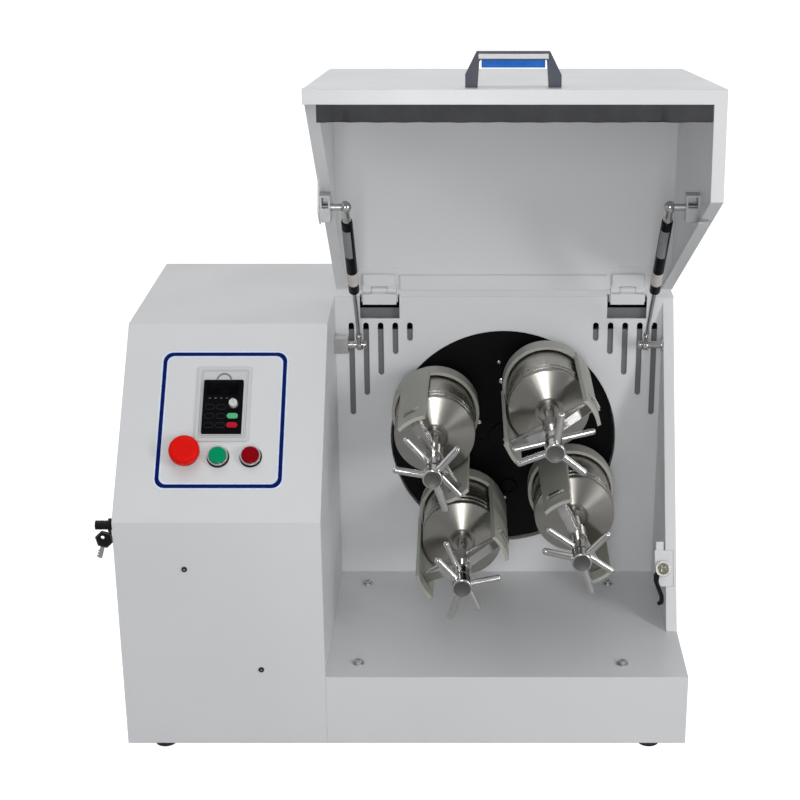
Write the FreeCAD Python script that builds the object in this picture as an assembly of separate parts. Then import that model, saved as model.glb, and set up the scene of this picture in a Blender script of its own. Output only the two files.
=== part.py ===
# Horizontal planetary ball mill with four clamped jars, built node by node.
# Millimetres. Z is up, the front faces -Y, and the origin is on the bench
# under the middle of the body.
import os
from math import atan2, cos, degrees, hypot, pi, radians, sin, tan

import FreeCAD
import Part

Vec = FreeCAD.Vector

# Body
BODY_W = 750.0
BODY_D = 500.0
BODY_H = 531.0
PLINTH_H = 100.0
FOOT_H = 8.0
FOOT_R = 14.0
FOOT_INSET_X = 48.0
FOOT_INSET_Y = 18.0
SHEET = 2.0
CABINET_W = 268.0
BEND_H = 324.0
SLOPE_BACK = 194.0
WALL_SET = 322.0
SIDE_WALL_T = 15.0
SIDE_FOOT_SET = 129.0
SIDE_TOP_SET = 326.0

LEFT = -BODY_W / 2
FRONT = -BODY_D / 2
BACK = BODY_D / 2
RIGHT = BODY_W / 2
BASE = FOOT_H
FLOOR = BASE + PLINTH_H
TOP = BASE + BODY_H
CABINET_RIGHT = LEFT + CABINET_W
WALL_Y = FRONT + WALL_SET
REAR_Y = BACK - SHEET
SIDE_IN = RIGHT - SIDE_WALL_T
CHAMBER_MID = (CABINET_RIGHT + RIGHT) / 2

# Lid, given closed and then swung open as photographed
OPEN_ANGLE = 94.3
HINGE_RISE = 10.0
LID_GAP = 3.0
LID_FOOT_GAP = 2.0
LID_FRONT_SET = 2.0
LID_TOP_SET = 11.0
LID_TOP_DROP = 17.0
LID_FLANGE = 15.0
LID_FRONT_FLANGE = 17.0
LID_BACK_STOP = 1.0
LID_HINGE_STOP = 8.0
HINGE_Y = WALL_Y
HINGE_Z = TOP + HINGE_RISE
LID_X0 = CABINET_RIGHT + LID_GAP
LID_X1 = RIGHT - LID_GAP
HINGE_CUT_W = 56.0
HINGE_CUT_H = 32.4
HINGE_CENTRES = (CABINET_RIGHT + 64.0, RIGHT - 66.0)
KNUCKLE_R = 5.0
KNUCKLE_HALF = 11.0
KNUCKLE_GAP = 0.4
STRAP_HALF = 24.0
STRAP_T = 3.0
STRAP_L = 22.0
LEAF_DROP = 11.0
HINGE_PLATE_DROP = 43.0
PIN_R = 2.5

# Lid handle
HANDLE_W = 109.0
HANDLE_H = 40.0
HANDLE_SET = 28.0
HANDLE_X = CHAMBER_MID - 1.0

# Gas struts
STRUT_XS = (CABINET_RIGHT + 36.0, RIGHT - 41.0)
STRUT_WALL = (HINGE_Y - 22.0, TOP - 64.3)
STRUT_LID_OPEN = (HINGE_Y - 242.0, HINGE_Z + 177.1)
STRUT_TUBE_R = 7.3
STRUT_ROD_R = 3.0
STRUT_TUBE_L = 165.0
STRUT_TOP_L = 29.0
STRUT_EYE_R = 8.2
STRUT_EYE_T = 8.0
STRUT_PIN_R = 4.0
STRUT_BLOCK = 20.0
STRUT_BLOCK_HALF = 11.0
STRUT_FLANGE_R = 9.5
BRACKET_HALF_Y = 11.0
BRACKET_HALF_Z = 17.0
BRACKET_SETS = (13.0, 17.0)
LUG_HALF = 16.0

# Disc drive
DISC_LIFT = 0.5
DISC_X = CHAMBER_MID
DISC_Z = (FLOOR + TOP) / 2 + DISC_LIFT
HOLE_R = 164.0
HOLE_LIP = 15.0
DISC_R = 162.0
DISC_T = 12.0
DISC_SET = 8.0
DISC_Y = WALL_Y + DISC_SET
JAR_CIRCLE = 114.0
JAR_FIRST_ANGLE = 58.6
JAR_COUNT = 4
SHAFT_R = 15.0
RUNNING_GAP = 0.06
MODULE = 2.0
SUN_TEETH = 76
PLANET_TEETH = 38
GEAR_Y = DISC_Y + DISC_T + 4.0
GEAR_T = 18.0
FRAME_Y = GEAR_Y + 54.0
FRAME_T = 6.0
FRAME_LEFT = 169.0
FRAME_RIGHT = 191.0
FRAME_DEPTH = 60.0
PULLEY_Y = FRAME_Y + 15.0
PULLEY_T = 25.0
DRIVE_PULLEY_R = 92.0
MOTOR_PULLEY_R = 36.0
MOTOR_X = LEFT + CABINET_W / 2
MOTOR_Z = BASE + 118.0
MOTOR_R = 62.0
MOTOR_L = 180.0
MOTOR_SHAFT_R = 9.0
BELT_T = 8.0
BELT_W = 13.0
BELT_GAP = 0.3
INVERTER_W = 84.0
INVERTER_D = 160.0
INVERTER_H = 150.0
INVERTER_BACK = 258.0
INVERTER_DROP = 251.0

# Jar unit, measured forward from the chamber wall
ARMS_TURN = -29.6
CUP_R = 62.0
CUP_WALL = 4.5
CUP_RIM = 58.0
CUP_BACK = 30.0
CUP_FLOOR = 8.0
BOSS_R = 24.0
HOUSING_R = 50.0
HOUSING_T = 18.0
ARM_R = 64.5
ARM_T = 5.0
ARM_LAP = 14.0
ARM_TIP = 236.0
ARM_HALF_TIP = 19.5
ARM_HALF_ROOT = 22.5
SLOT_AT = 207.0
SLOT_W = 20.0
SLOT_D = 7.0
JAR_R = 55.0
JAR_WALL = 6.0
JAR_BAND_R = 56.0
JAR_FRONT = 135.0
LID_DISC_T = 7.0
LID_CONE = 10.0
JAR_BOSS_R = 13.5
JAR_BOSS_T = 5.0
BRIDGE_W = 12.0
BRIDGE_END = 6.0
BRIDGE_MID = 25.0
TAB_OUT = 4.0
SCREW_R = 6.0
THREAD_GAP = 0.1
NUT_AT = 261.0
NUT_T = 18.0
NUT_R = 11.5
NUT_BAR_HALF = 56.0
NUT_BAR_R = 4.2
HUB_FRONTS = (307.0, 302.0, 299.0, 300.0)
HUB_T = 23.0
HUB_R = 13.2
SPOKE_R = 4.8
SPOKE_REACH = 53.0
SPOKE_ANGLES = (81.0, 49.5, 12.0, 46.5)
BAR_ANGLES = (14.0, 132.0, 114.0, 145.0)

# Controls on the sloped face: x from the left side, s up the slope
ESTOP_AT = (88.8, 94.7)
ESTOP_HEAD_R = 20.0
ESTOP_HEAD_N = 9.0
ESTOP_HEAD_T = 12.0
ESTOP_STEM_R = 7.0
START_AT = (131.6, 90.2)
STOP_AT = (174.2, 90.5)
BUTTON_STEM_R = 9.1
BUTTON_HEAD_R = 11.3
BUTTON_HEAD_N = 3.6
BUTTON_TOP = 10.5
BUTTON_HOLE_R = 11.0
BUTTON_GAP = 0.25
COLLAR_R = 13.5
COLLAR_H = 7.0
COLLAR_FLOOR = 0.3
ESTOP_COLLAR_R = 15.5
ESTOP_COLLAR_H = 3.0
KEYPAD_AT = (98.7, 111.8)
KEYPAD_W = 72.0
KEYPAD_L = 107.0
KEYPAD_T = 2.5
FACE_AT = (107.7, 121.3)
FACE_W = 52.5
FACE_L = 77.0
FACE_T = 3.5
WELL_DEPTH = 3.0
KNOB_AT = (148.6, 162.8)
KNOB_R = 5.4
RUN_AT = (148.0, 145.8)
HALT_AT = (148.0, 132.8)
KEY_CAP_HALF_X = 7.2
KEY_CAP_HALF_S = 3.7
KEY_CAP_GAP = 0.3

# Lock on the right side wall, up its slanted front
LOCK_S0 = 62.8
LOCK_S1 = 113.5
LOCK_X0 = RIGHT - 30.0
LOCK_X1 = RIGHT - 4.0
LOCK_CORE_S = 87.6
LOCK_CORE_X = RIGHT - 19.0
LOCK_CORE_R = 8.0
HOOK_T = 4.0
HOOK_LIFT = 5.0
HOOK_RING_R = 11.0
HOOK_GAP = 0.1
LOCK_NOTCH_R = 12.2
BUMPER_X0 = RIGHT - 28.0
BUMPER_X1 = RIGHT - 17.5

# Key switch on the left side
KEYSW_SET = 40.0
KEYSW_H = 303.0
KEYSW_R = 6.2
KEYSW_L = 30.0
KEY_T = 3.0
KEY_EYE_R = 9.0
KEY_NECK_SET = 11.4
KEY_BOW_SET = 20.0
KEY_BOW_DROP = 20.5
KEY_BOW_R = 12.4
KEY_BLADE_L = 15.0
KEY_LEAN = 16.0

VENT_W = 8.0
VENT_DROP = 38.6
VENT_STEP = 20.9
VENT_EDGE = 24.4
VENT_MID = CHAMBER_MID - 1.4
VENT_LENGTHS = (139.8, 109.5, 78.7, 47.5, 27.3)

UNIT_NAMES = ("1", "2", "3", "4")


def box(x0, y0, z0, x1, y1, z1):
    return Part.makeBox(x1 - x0, y1 - y0, z1 - z0, Vec(x0, y0, z0))


def cyl_x(r, x0, x1, y, z):
    return Part.makeCylinder(r, x1 - x0, Vec(x0, y, z), Vec(1, 0, 0))


def cyl_y(r, y0, y1, x, z):
    return Part.makeCylinder(r, y1 - y0, Vec(x, y0, z), Vec(0, 1, 0))


def cyl_z(r, z0, z1, x, y):
    return Part.makeCylinder(r, z1 - z0, Vec(x, y, z0), Vec(0, 0, 1))


def cone_y(r0, r1, y0, y1, x, z):
    return Part.makeCone(r0, r1, y1 - y0, Vec(x, y0, z), Vec(0, 1, 0))


def prism_x(points, x0, x1):
    """Extrude a (y, z) outline from x0 to x1."""
    wire = Part.makePolygon([Vec(x0, y, z) for y, z in points + points[:1]])
    return Part.Face(wire).extrude(Vec(x1 - x0, 0, 0))


def prism_y(points, y0, y1):
    """Extrude an (x, z) outline from y0 to y1."""
    wire = Part.makePolygon([Vec(x, y0, z) for x, z in points + points[:1]])
    return Part.Face(wire).extrude(Vec(0, y1 - y0, 0))


def join(shapes):
    first = shapes[0]
    return first.fuse(shapes[1:]).removeSplitter() if len(shapes) > 1 else first


def cut(shape, tools):
    return shape.cut(Part.makeCompound(tools)) if len(tools) == 1 else shape.cut(tools)


def group(shapes):
    return Part.makeCompound(shapes)


def rounded_plate(x0, y0, z0, x1, y1, z1, r):
    """A plate in the XY plane whose four upright corners are rounded."""
    plate = box(x0, y0, z0, x1, y1, z1)
    upright = [e for e in plate.Edges if abs(e.tangentAt(e.FirstParameter).z) > 0.9]
    return plate.makeFillet(r, upright)


def stadium_y(x, z0, z1, w, y0, y1):
    """An upright slot with round ends, cut along Y."""
    r = w / 2
    return join([
        box(x - r, y0, z0 + r, x + r, y1, z1 - r),
        cyl_y(r, y0, y1, x, z0 + r),
        cyl_y(r, y0, y1, x, z1 - r),
    ])


def turned(shape, angle, y, z):
    """Turn a shape about an X axis through (y, z)."""
    out = shape.copy()
    out.rotate(Vec(0, y, z), Vec(1, 0, 0), angle)
    return out


def on_plane(shape, angle, y, z):
    """Carry a shape from the flat (x, s, n) frame onto a slope at (y, z)."""
    out = shape.copy()
    out.rotate(Vec(0, 0, 0), Vec(1, 0, 0), angle)
    out.translate(Vec(0, y, z))
    return out


SLOPE_ANGLE = degrees(atan2(BODY_H - BEND_H, SLOPE_BACK))
SIDE_ANGLE = degrees(atan2(BODY_H - PLINTH_H, SIDE_TOP_SET - SIDE_FOOT_SET))


def on_slope(shape):
    moved = shape.copy()
    moved.translate(Vec(LEFT, 0, 0))
    return on_plane(moved, SLOPE_ANGLE, FRONT, BASE + BEND_H)


def on_side(shape):
    return on_plane(shape, SIDE_ANGLE, FRONT + SIDE_FOOT_SET, FLOOR)


def opened(shape):
    """Swing a lid part from closed to the photographed open rest."""
    return turned(shape, -OPEN_ANGLE, HINGE_Y, HINGE_Z)


# Base, cabinet and chamber

def floor_bolt_places():
    left = CABINET_RIGHT + 41.0
    right = RIGHT - 84.5
    near = FRONT + 38.5
    far = WALL_Y - 40.5
    return ((left, far), (left + 0.5, near), (right, near - 2.0), (right, far - 0.5))


def base_plinth():
    outer = box(CABINET_RIGHT, FRONT, BASE, RIGHT, BACK, FLOOR)
    hollow = box(CABINET_RIGHT + SHEET, FRONT + SHEET, BASE + SHEET,
                 RIGHT - SHEET, BACK - SHEET, FLOOR - SHEET)
    service = box(CABINET_RIGHT + 60, FRONT + 90, BASE - 1, RIGHT - 60, BACK - 90, BASE + SHEET + 1)
    holes = [cyl_z(3.1, FLOOR - 10, FLOOR + 1, x, y) for x, y in floor_bolt_places()]
    return cut(outer, [hollow, service] + holes)


def cabinet_outline(inset):
    """Side outline of the control cabinet, moved inward by inset."""
    lean = radians(SLOPE_ANGLE)
    corner = inset * tan(lean / 2)
    return [
        (FRONT + inset, BASE + inset),
        (FRONT + inset, BASE + BEND_H - tan((pi / 2 - lean) / 2) * inset),
        (FRONT + SLOPE_BACK + corner, TOP - inset),
        (REAR_Y + (1 if inset else 0), TOP - inset),
        (REAR_Y + (1 if inset else 0), BASE + inset),
    ]


def cabinet_shell():
    outer = prism_x(cabinet_outline(0), LEFT, CABINET_RIGHT)
    hollow = prism_x(cabinet_outline(SHEET), LEFT + SHEET, CABINET_RIGHT - SHEET)
    belt_way = box(CABINET_RIGHT - 10, PULLEY_Y - 12, FLOOR + 4, CABINET_RIGHT + 1,
                   PULLEY_Y + PULLEY_T + 12, BASE + 300)
    holes = [
        on_slope(cyl_z(BUTTON_HOLE_R, -10, 10, *ESTOP_AT)),
        on_slope(cyl_z(BUTTON_HOLE_R, -10, 10, *START_AT)),
        on_slope(cyl_z(BUTTON_HOLE_R, -10, 10, *STOP_AT)),
        cyl_x(KEYSW_R - 1.2, LEFT - 1, LEFT + 10, FRONT + KEYSW_SET, BASE + KEYSW_H),
    ]
    return cut(outer, [hollow, belt_way] + holes)


def side_outline(inset):
    lean = radians(SIDE_ANGLE)
    shift = inset / sin(lean)
    foot = FRONT + SIDE_FOOT_SET + shift
    top = TOP - inset
    slope_in = (top - FLOOR) / tan(lean)
    bottom = FLOOR - (1 if inset else 0)
    return [
        (foot - (1 if inset else 0) / tan(lean), bottom),
        (foot + slope_in, top),
        (REAR_Y - inset, top),
        (REAR_Y - inset, bottom),
    ]


def hinge_cuts():
    half = HINGE_CUT_W / 2
    low = TOP - HINGE_CUT_H
    walls = [box(x - half, WALL_Y - 2, low, x + half, WALL_Y + 6, TOP + 1) for x in HINGE_CENTRES]
    roofs = [box(x - half, WALL_Y - 2, TOP - 6, x + half, WALL_Y + 14, TOP + 1)
             for x in HINGE_CENTRES]
    return walls + roofs


def vent_places():
    """Axis and length of each vent slot, the longest beside the walls."""
    first = (RIGHT - CABINET_RIGHT) / 2 - VENT_EDGE
    out = []
    for i, length in enumerate(VENT_LENGTHS):
        for side in (-1, 1):
            out.append((VENT_MID + side * (first - i * VENT_STEP), length))
    return out


def chamber_shell():
    wall = box(CABINET_RIGHT, WALL_Y, FLOOR, SIDE_IN, WALL_Y + SHEET, TOP)
    roof = box(CABINET_RIGHT, WALL_Y, TOP - SHEET, RIGHT, REAR_Y, TOP)
    collar = cyl_y(HOLE_R + SHEET, WALL_Y, WALL_Y + HOLE_LIP, DISC_X, DISC_Z)
    side = prism_x(side_outline(0), SIDE_IN, RIGHT)
    side_hollow = prism_x(side_outline(SHEET), SIDE_IN + SHEET, RIGHT - SHEET)
    lock_way = on_side(box(LOCK_X0 - 1, LOCK_S0, -32, LOCK_X1, LOCK_S1, 1))
    body = join([wall, roof, collar, side])
    tools = [side_hollow, lock_way, cyl_y(HOLE_R, WALL_Y - 1, WALL_Y + HOLE_LIP + 1, DISC_X, DISC_Z)]
    tools += hinge_cuts()
    vent_top = TOP - VENT_DROP
    tools += [stadium_y(x, vent_top - length, vent_top, VENT_W, WALL_Y - 1, WALL_Y + 5)
              for x, length in vent_places()]
    return cut(body, tools)


def rear_screw_places():
    xs = (LEFT + 12, LEFT + CABINET_W - 12, LEFT + CABINET_W + 14, RIGHT - 10)
    zs = (FLOOR + 20, (FLOOR + TOP) / 2, TOP - 14)
    return [(x, z) for x in xs for z in zs]


def rear_panel():
    panel = box(LEFT, REAR_Y, BASE, CABINET_RIGHT, BACK, TOP)
    panel = join([panel, box(CABINET_RIGHT - 1, REAR_Y, FLOOR, RIGHT, BACK, TOP)])
    slots = []
    for row in range(8):
        z = BASE + 150 + row * 16
        for x in (LEFT + 60, LEFT + 150, DISC_X + 51):
            slots.append(box(x, REAR_Y - 1, z, x + 62, BACK + 1, z + 5))
    inlet = box(LEFT + 56, REAR_Y - 1, BASE + 46, LEFT + 104, BACK + 1, BASE + 78)
    return cut(panel, slots + [inlet])


def bolt_head_z(x, y, z, r, h):
    head = cyl_z(r, z, z + h, x, y)
    socket = Part.makeCylinder(r * 0.5, h, Vec(x, y, z + h * 0.5), Vec(0, 0, 1))
    shank = cyl_z(3.0, z - 8, z, x, y)
    return join([cut(head, [socket]), shank])


def strut_stud(x_wall, toward, y, z):
    """Seat on the wall, pin and rounded cap for the lower end of one strut."""
    x_eye = STRUT_XS[0] if toward > 0 else STRUT_XS[1]
    far = x_eye + toward * (STRUT_EYE_T / 2 + 0.5)
    near = x_eye - toward * (STRUT_EYE_T / 2 + 0.5)
    end = far + toward * 5.0
    if toward > 0:
        half = STRUT_BLOCK_HALF
        seat = box(x_wall, y - half + 3, z - half, x_wall + STRUT_BLOCK, y + half - 3, z + half)
    else:
        seat = cyl_x(STRUT_FLANGE_R, x_wall - 3, x_wall, y, z)
    pin = cyl_x(STRUT_PIN_R, min(x_wall, far), max(x_wall, far), y, z)
    shoulder = cyl_x(STRUT_PIN_R + 1.5, min(x_wall, near), max(x_wall, near), y, z)
    cap = cyl_x(STRUT_PIN_R + 2.2, min(far, end), max(far, end), y, z)
    rims = [e for e in cap.Edges if e.BoundBox.XLength < 0.01 and abs(e.BoundBox.XMin - end) < 0.01]
    return join([seat, pin, shoulder, cap.makeFillet(2.4, rims)])


def body_hardware():
    parts = [bolt_head_z(x, y, FLOOR, 5.0, 5.0) for x, y in floor_bolt_places()]
    for x, z in ((89.8, 258.2), (183.6, 111.5)):
        parts.append(cyl_y(3.2, FRONT - 1.4, FRONT, LEFT + x, BASE + z))
    for x, z in rear_screw_places():
        parts.append(cyl_y(3.5, BACK, BACK + 1.8, x, z))
    y, z = STRUT_WALL
    parts.append(strut_stud(CABINET_RIGHT, 1, y, z))
    parts.append(strut_stud(SIDE_IN, -1, y, z))
    return group(parts)


def feet():
    out = []
    for x in (LEFT + FOOT_INSET_X, RIGHT - FOOT_INSET_X):
        for y in (FRONT + FOOT_INSET_Y, BACK - FOOT_INSET_Y):
            out.append(cyl_z(FOOT_R, 0, FOOT_H, x, y))
    return group(out)


def power_inlet():
    flange = box(LEFT + 52, BACK, BASE + 42, LEFT + 108, BACK + 3, BASE + 82)
    body = box(LEFT + 57, BACK - 28, BASE + 47, LEFT + 103, BACK, BASE + 77)
    mouth = box(LEFT + 66, BACK - 14, BASE + 52, LEFT + 94, BACK + 4, BASE + 72)
    pins = [box(LEFT + x, BACK - 15, BASE + 60, LEFT + x + 2, BACK - 1, BASE + 65)
            for x in (72, 79, 86)]
    return join([cut(join([flange, body]), [mouth])] + pins)


# Drive

def gear(teeth, bore_r, phase, x, z, y0, y1):
    """Straight-flank spur gear with backlash, one tooth centred at phase."""
    pitch = teeth * MODULE / 2
    root = pitch - 1.25 * MODULE
    tip = pitch + 0.85 * MODULE
    step = 2 * pi / teeth
    half_pitch = 0.19 * step
    half_root = half_pitch + 1.25 * MODULE * tan(radians(20)) / pitch
    half_tip = half_pitch - 0.85 * MODULE * tan(radians(20)) / pitch
    points = []
    for i in range(teeth):
        mid = radians(phase) + i * step
        for r, da in ((root, -half_root), (tip, -half_tip), (tip, half_tip), (root, half_root)):
            points.append((x + r * cos(mid + da), z + r * sin(mid + da)))
    blank = prism_y(points, y0, y1)
    return cut(blank, [cyl_y(bore_r, y0 - 1, y1 + 1, x, z)])


def unit_angle(k):
    return JAR_FIRST_ANGLE + 90.0 * k


def unit_axis(k):
    a = radians(unit_angle(k))
    return DISC_X + JAR_CIRCLE * cos(a), DISC_Z + JAR_CIRCLE * sin(a)


def carrier_disc():
    plate = cyl_y(DISC_R, DISC_Y, DISC_Y + DISC_T, DISC_X, DISC_Z)
    cap = cyl_y(20.0, DISC_Y - 4, DISC_Y, DISC_X, DISC_Z)
    heads = [cyl_y(HOUSING_R, DISC_Y - HOUSING_T, DISC_Y, *unit_axis(k)) for k in range(JAR_COUNT)]
    for i in range(6):
        a = radians(60 * i + 15)
        x = DISC_X + 32 * cos(a)
        z = DISC_Z + 32 * sin(a)
        heads.append(cyl_y(3.5, DISC_Y - 2.5, DISC_Y, x, z))
    bores = [cyl_y(SHAFT_R, DISC_Y + 1, DISC_Y + DISC_T + 1, DISC_X, DISC_Z)]
    for k in range(JAR_COUNT):
        x, z = unit_axis(k)
        bores.append(cyl_y(10.0 + RUNNING_GAP, DISC_Y - 1, DISC_Y + DISC_T + 1, x, z))
        bores.append(cyl_y(BOSS_R + 2, DISC_Y - HOUSING_T - 1, DISC_Y - 0.01, x, z))
    return cut(join([plate, cap] + heads), bores)


def grooved_pulley(x, z, r):
    rim = cyl_y(r + 5, PULLEY_Y, PULLEY_Y + PULLEY_T, x, z)
    mid = PULLEY_Y + PULLEY_T / 2
    half = BELT_W / 2 + 0.5
    groove = cut(cyl_y(r + 9, mid - half, mid + half, x, z),
                 [cyl_y(r, mid - half - 1, mid + half + 1, x, z)])
    return cut(rim, [groove])


def drive_shaft():
    shaft = cyl_y(SHAFT_R, DISC_Y + 1, PULLEY_Y + PULLEY_T + 5, DISC_X, DISC_Z)
    pulley = grooved_pulley(DISC_X, DISC_Z, DRIVE_PULLEY_R)
    pocket = cut(cyl_y(DRIVE_PULLEY_R - 10, PULLEY_Y + 14, PULLEY_Y + 30, DISC_X, DISC_Z),
                 [cyl_y(26, PULLEY_Y + 13, PULLEY_Y + 31, DISC_X, DISC_Z)])
    return join([cut(pulley, [pocket]), shaft])


def gear_housing():
    sun = gear(SUN_TEETH, SHAFT_R + RUNNING_GAP, JAR_FIRST_ANGLE, DISC_X, DISC_Z,
               GEAR_Y, GEAR_Y + GEAR_T)
    barrel = cyl_y(44, GEAR_Y + GEAR_T, FRAME_Y + FRAME_T + 4, DISC_X, DISC_Z)
    flange = cyl_y(62, FRAME_Y - 10, FRAME_Y, DISC_X, DISC_Z)
    bore = cyl_y(SHAFT_R + RUNNING_GAP, GEAR_Y - 1, FRAME_Y + FRAME_T + 9, DISC_X, DISC_Z)
    return cut(join([sun, barrel, flange]), [bore])


def drive_frame():
    x0 = DISC_X - FRAME_LEFT
    x1 = DISC_X + FRAME_RIGHT
    plate = box(x0, FRAME_Y, FLOOR, x1, FRAME_Y + FRAME_T, TOP - 61)
    foot = box(x0, FRAME_Y, FLOOR, x1, FRAME_Y + FRAME_DEPTH, FLOOR + 5)
    hole = cyl_y(44, FRAME_Y - 1, FRAME_Y + FRAME_T + 1, DISC_X, DISC_Z)
    ribs = [box(x, FRAME_Y + FRAME_T, FLOOR + 5, x + 5, FRAME_Y + FRAME_DEPTH - 5, FLOOR + h)
            for x, h in ((x0 + 20, 35), (x1 - 25, 60))]
    return join([cut(plate, [hole]), foot] + ribs)


def motor():
    y1 = PULLEY_Y - 25
    y0 = y1 - MOTOR_L
    body = cyl_y(MOTOR_R, y0, y1, MOTOR_X, MOTOR_Z)
    fins = []
    for i in range(16):
        a = 360.0 / 16 * i
        fin = box(MOTOR_X - 1.2, y0 + 30, MOTOR_Z + MOTOR_R - 1, MOTOR_X + 1.2, y1 - 20,
                  MOTOR_Z + MOTOR_R + 5)
        fin.rotate(Vec(MOTOR_X, 0, MOTOR_Z), Vec(0, 1, 0), a)
        fins.append(fin)
    cradle = box(MOTOR_X - 45, y0 + 35, BASE + SHEET, MOTOR_X + 45, y1 - 25, MOTOR_Z - MOTOR_R + 14)
    case = box(MOTOR_X - 34, y0 + 45, MOTOR_Z + MOTOR_R - 8, MOTOR_X + 34, y1 - 55,
               MOTOR_Z + MOTOR_R + 34)
    collar = cyl_y(16, y1, y1 + 6, MOTOR_X, MOTOR_Z)
    bore = cyl_y(MOTOR_SHAFT_R + RUNNING_GAP, y1 - 30, y1 + 8, MOTOR_X, MOTOR_Z)
    return cut(join([body, cradle, case, collar] + fins), [bore])


def motor_pulley():
    y1 = PULLEY_Y - 25
    shaft = cyl_y(MOTOR_SHAFT_R, y1 - 25, PULLEY_Y + PULLEY_T + 3, MOTOR_X, MOTOR_Z)
    return join([grooved_pulley(MOTOR_X, MOTOR_Z, MOTOR_PULLEY_R), shaft])


def belt_loop(grow):
    """Solid filled outline of the belt run, grown by grow."""
    r0 = MOTOR_PULLEY_R + grow
    r1 = DRIVE_PULLEY_R + grow
    dx = DISC_X - MOTOR_X
    dz = DISC_Z - MOTOR_Z
    run = hypot(dx, dz)
    lead = atan2(dz, dx)
    off = pi / 2 + (r1 - r0) / run
    mid = PULLEY_Y + PULLEY_T / 2
    y0 = mid - BELT_W / 2
    corners = []
    for x, z, r, turn in ((MOTOR_X, MOTOR_Z, r0, off), (DISC_X, DISC_Z, r1, off),
                          (DISC_X, DISC_Z, r1, -off), (MOTOR_X, MOTOR_Z, r0, -off)):
        corners.append((x + r * cos(lead + turn), z + r * sin(lead + turn)))
    return join([
        prism_y(corners, y0, y0 + BELT_W),
        cyl_y(r0, y0, y0 + BELT_W, MOTOR_X, MOTOR_Z),
        cyl_y(r1, y0, y0 + BELT_W, DISC_X, DISC_Z),
    ])


def drive_belt():
    return belt_loop(BELT_GAP + BELT_T).cut(belt_loop(BELT_GAP))


def inverter():
    y0 = REAR_Y - INVERTER_BACK
    z0 = TOP - INVERTER_DROP
    z1 = z0 + INVERTER_H
    body = box(LEFT + SHEET, y0, z0, LEFT + SHEET + INVERTER_W, y0 + INVERTER_D, z1)
    ribs = []
    for i in range(6):
        x = LEFT + SHEET + 8 + i * INVERTER_W / 7
        ribs.append(box(x, y0 - 2, z0 + 10, x + 4, y0 + 1, z1 - 10))
    return join([body] + ribs)


# Jar units, built on the local axis and then placed

def place_unit(shape, k, turn=None):
    """Turn a unit about its own axis as seen from the front, then move it."""
    out = shape.copy()
    angle = unit_angle(k) + ARMS_TURN if turn is None else turn
    out.rotate(Vec(0, 0, 0), Vec(0, -1, 0), angle)
    x, z = unit_axis(k)
    out.translate(Vec(x, 0, z))
    return out


def holder_solid():
    rim = WALL_Y - CUP_RIM
    back = WALL_Y - CUP_BACK
    tip = WALL_Y - ARM_TIP
    shell = cut(cyl_y(CUP_R, rim, back, 0, 0),
                [cyl_y(CUP_R - CUP_WALL, rim - 1, back - CUP_FLOOR, 0, 0)])
    tube = cut(cyl_y(ARM_R, tip, rim + ARM_LAP, 0, 0),
               [cyl_y(ARM_R - ARM_T, tip - 1, rim + ARM_LAP + 1, 0, 0)])
    taper = [
        Vec(-ARM_R - 5, rim + ARM_LAP, ARM_HALF_ROOT),
        Vec(-ARM_R - 5, tip - 1, ARM_HALF_TIP),
        Vec(-ARM_R - 5, tip - 1, -ARM_HALF_TIP),
        Vec(-ARM_R - 5, rim + ARM_LAP, -ARM_HALF_ROOT),
    ]
    wedge = Part.Face(Part.makePolygon(taper + taper[:1])).extrude(Vec(2 * ARM_R + 10, 0, 0))
    arms = tube.common(wedge)
    slot_y = WALL_Y - SLOT_AT
    half = SLOT_W / 2
    lips = []
    for side in (-1, 1):
        x0, x1 = sorted((side * (ARM_R - 6), side * (ARM_R + 1.8)))
        lip = box(x0, slot_y + SLOT_D / 2, -half - 3, x1, slot_y + SLOT_D / 2 + 3.5, half + 3)
        lips.append(lip)
    slot = box(-ARM_R - 6, slot_y - SLOT_D / 2, -half, ARM_R + 6, slot_y + SLOT_D / 2, half)
    boss = cyl_y(BOSS_R, back, DISC_Y - 0.5, 0, 0)
    return cut(join([shell, arms, boss] + lips), [slot])


def jar_holder(k):
    holder = place_unit(holder_solid(), k)
    x, z = unit_axis(k)
    shaft = cyl_y(10.0, DISC_Y - 2, GEAR_Y + GEAR_T + 6, x, z)
    spacer = cyl_y(13.0, DISC_Y + DISC_T + 0.4, GEAR_Y, x, z)
    nut = cyl_y(15.0, GEAR_Y + GEAR_T, GEAR_Y + GEAR_T + 5, x, z)
    # A gap of the planet faces the sun, whose tooth points at the planet.
    phase = unit_angle(k) + 180.0 + 180.0 / PLANET_TEETH
    wheel = gear(PLANET_TEETH, 9.0, phase, x, z, GEAR_Y, GEAR_Y + GEAR_T)
    return join([holder, shaft, spacer, nut, wheel])


def jar_body():
    back = WALL_Y - CUP_BACK - CUP_FLOOR
    front = WALL_Y - JAR_FRONT
    body = cyl_y(JAR_R, front, back, 0, 0)
    bands = [cyl_y(JAR_BAND_R, front + 6 + 12 * i, front + 13 + 12 * i, 0, 0) for i in range(2)]
    hollow = cyl_y(JAR_R - JAR_WALL, front - 1, back - JAR_WALL, 0, 0)
    shape = cut(join([body] + bands), [hollow])
    ends = [e for e in shape.Edges if abs(e.BoundBox.YMin - back) < 0.01 and e.BoundBox.YLength < 0.01]
    return shape.makeFillet(3.0, ends)


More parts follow.
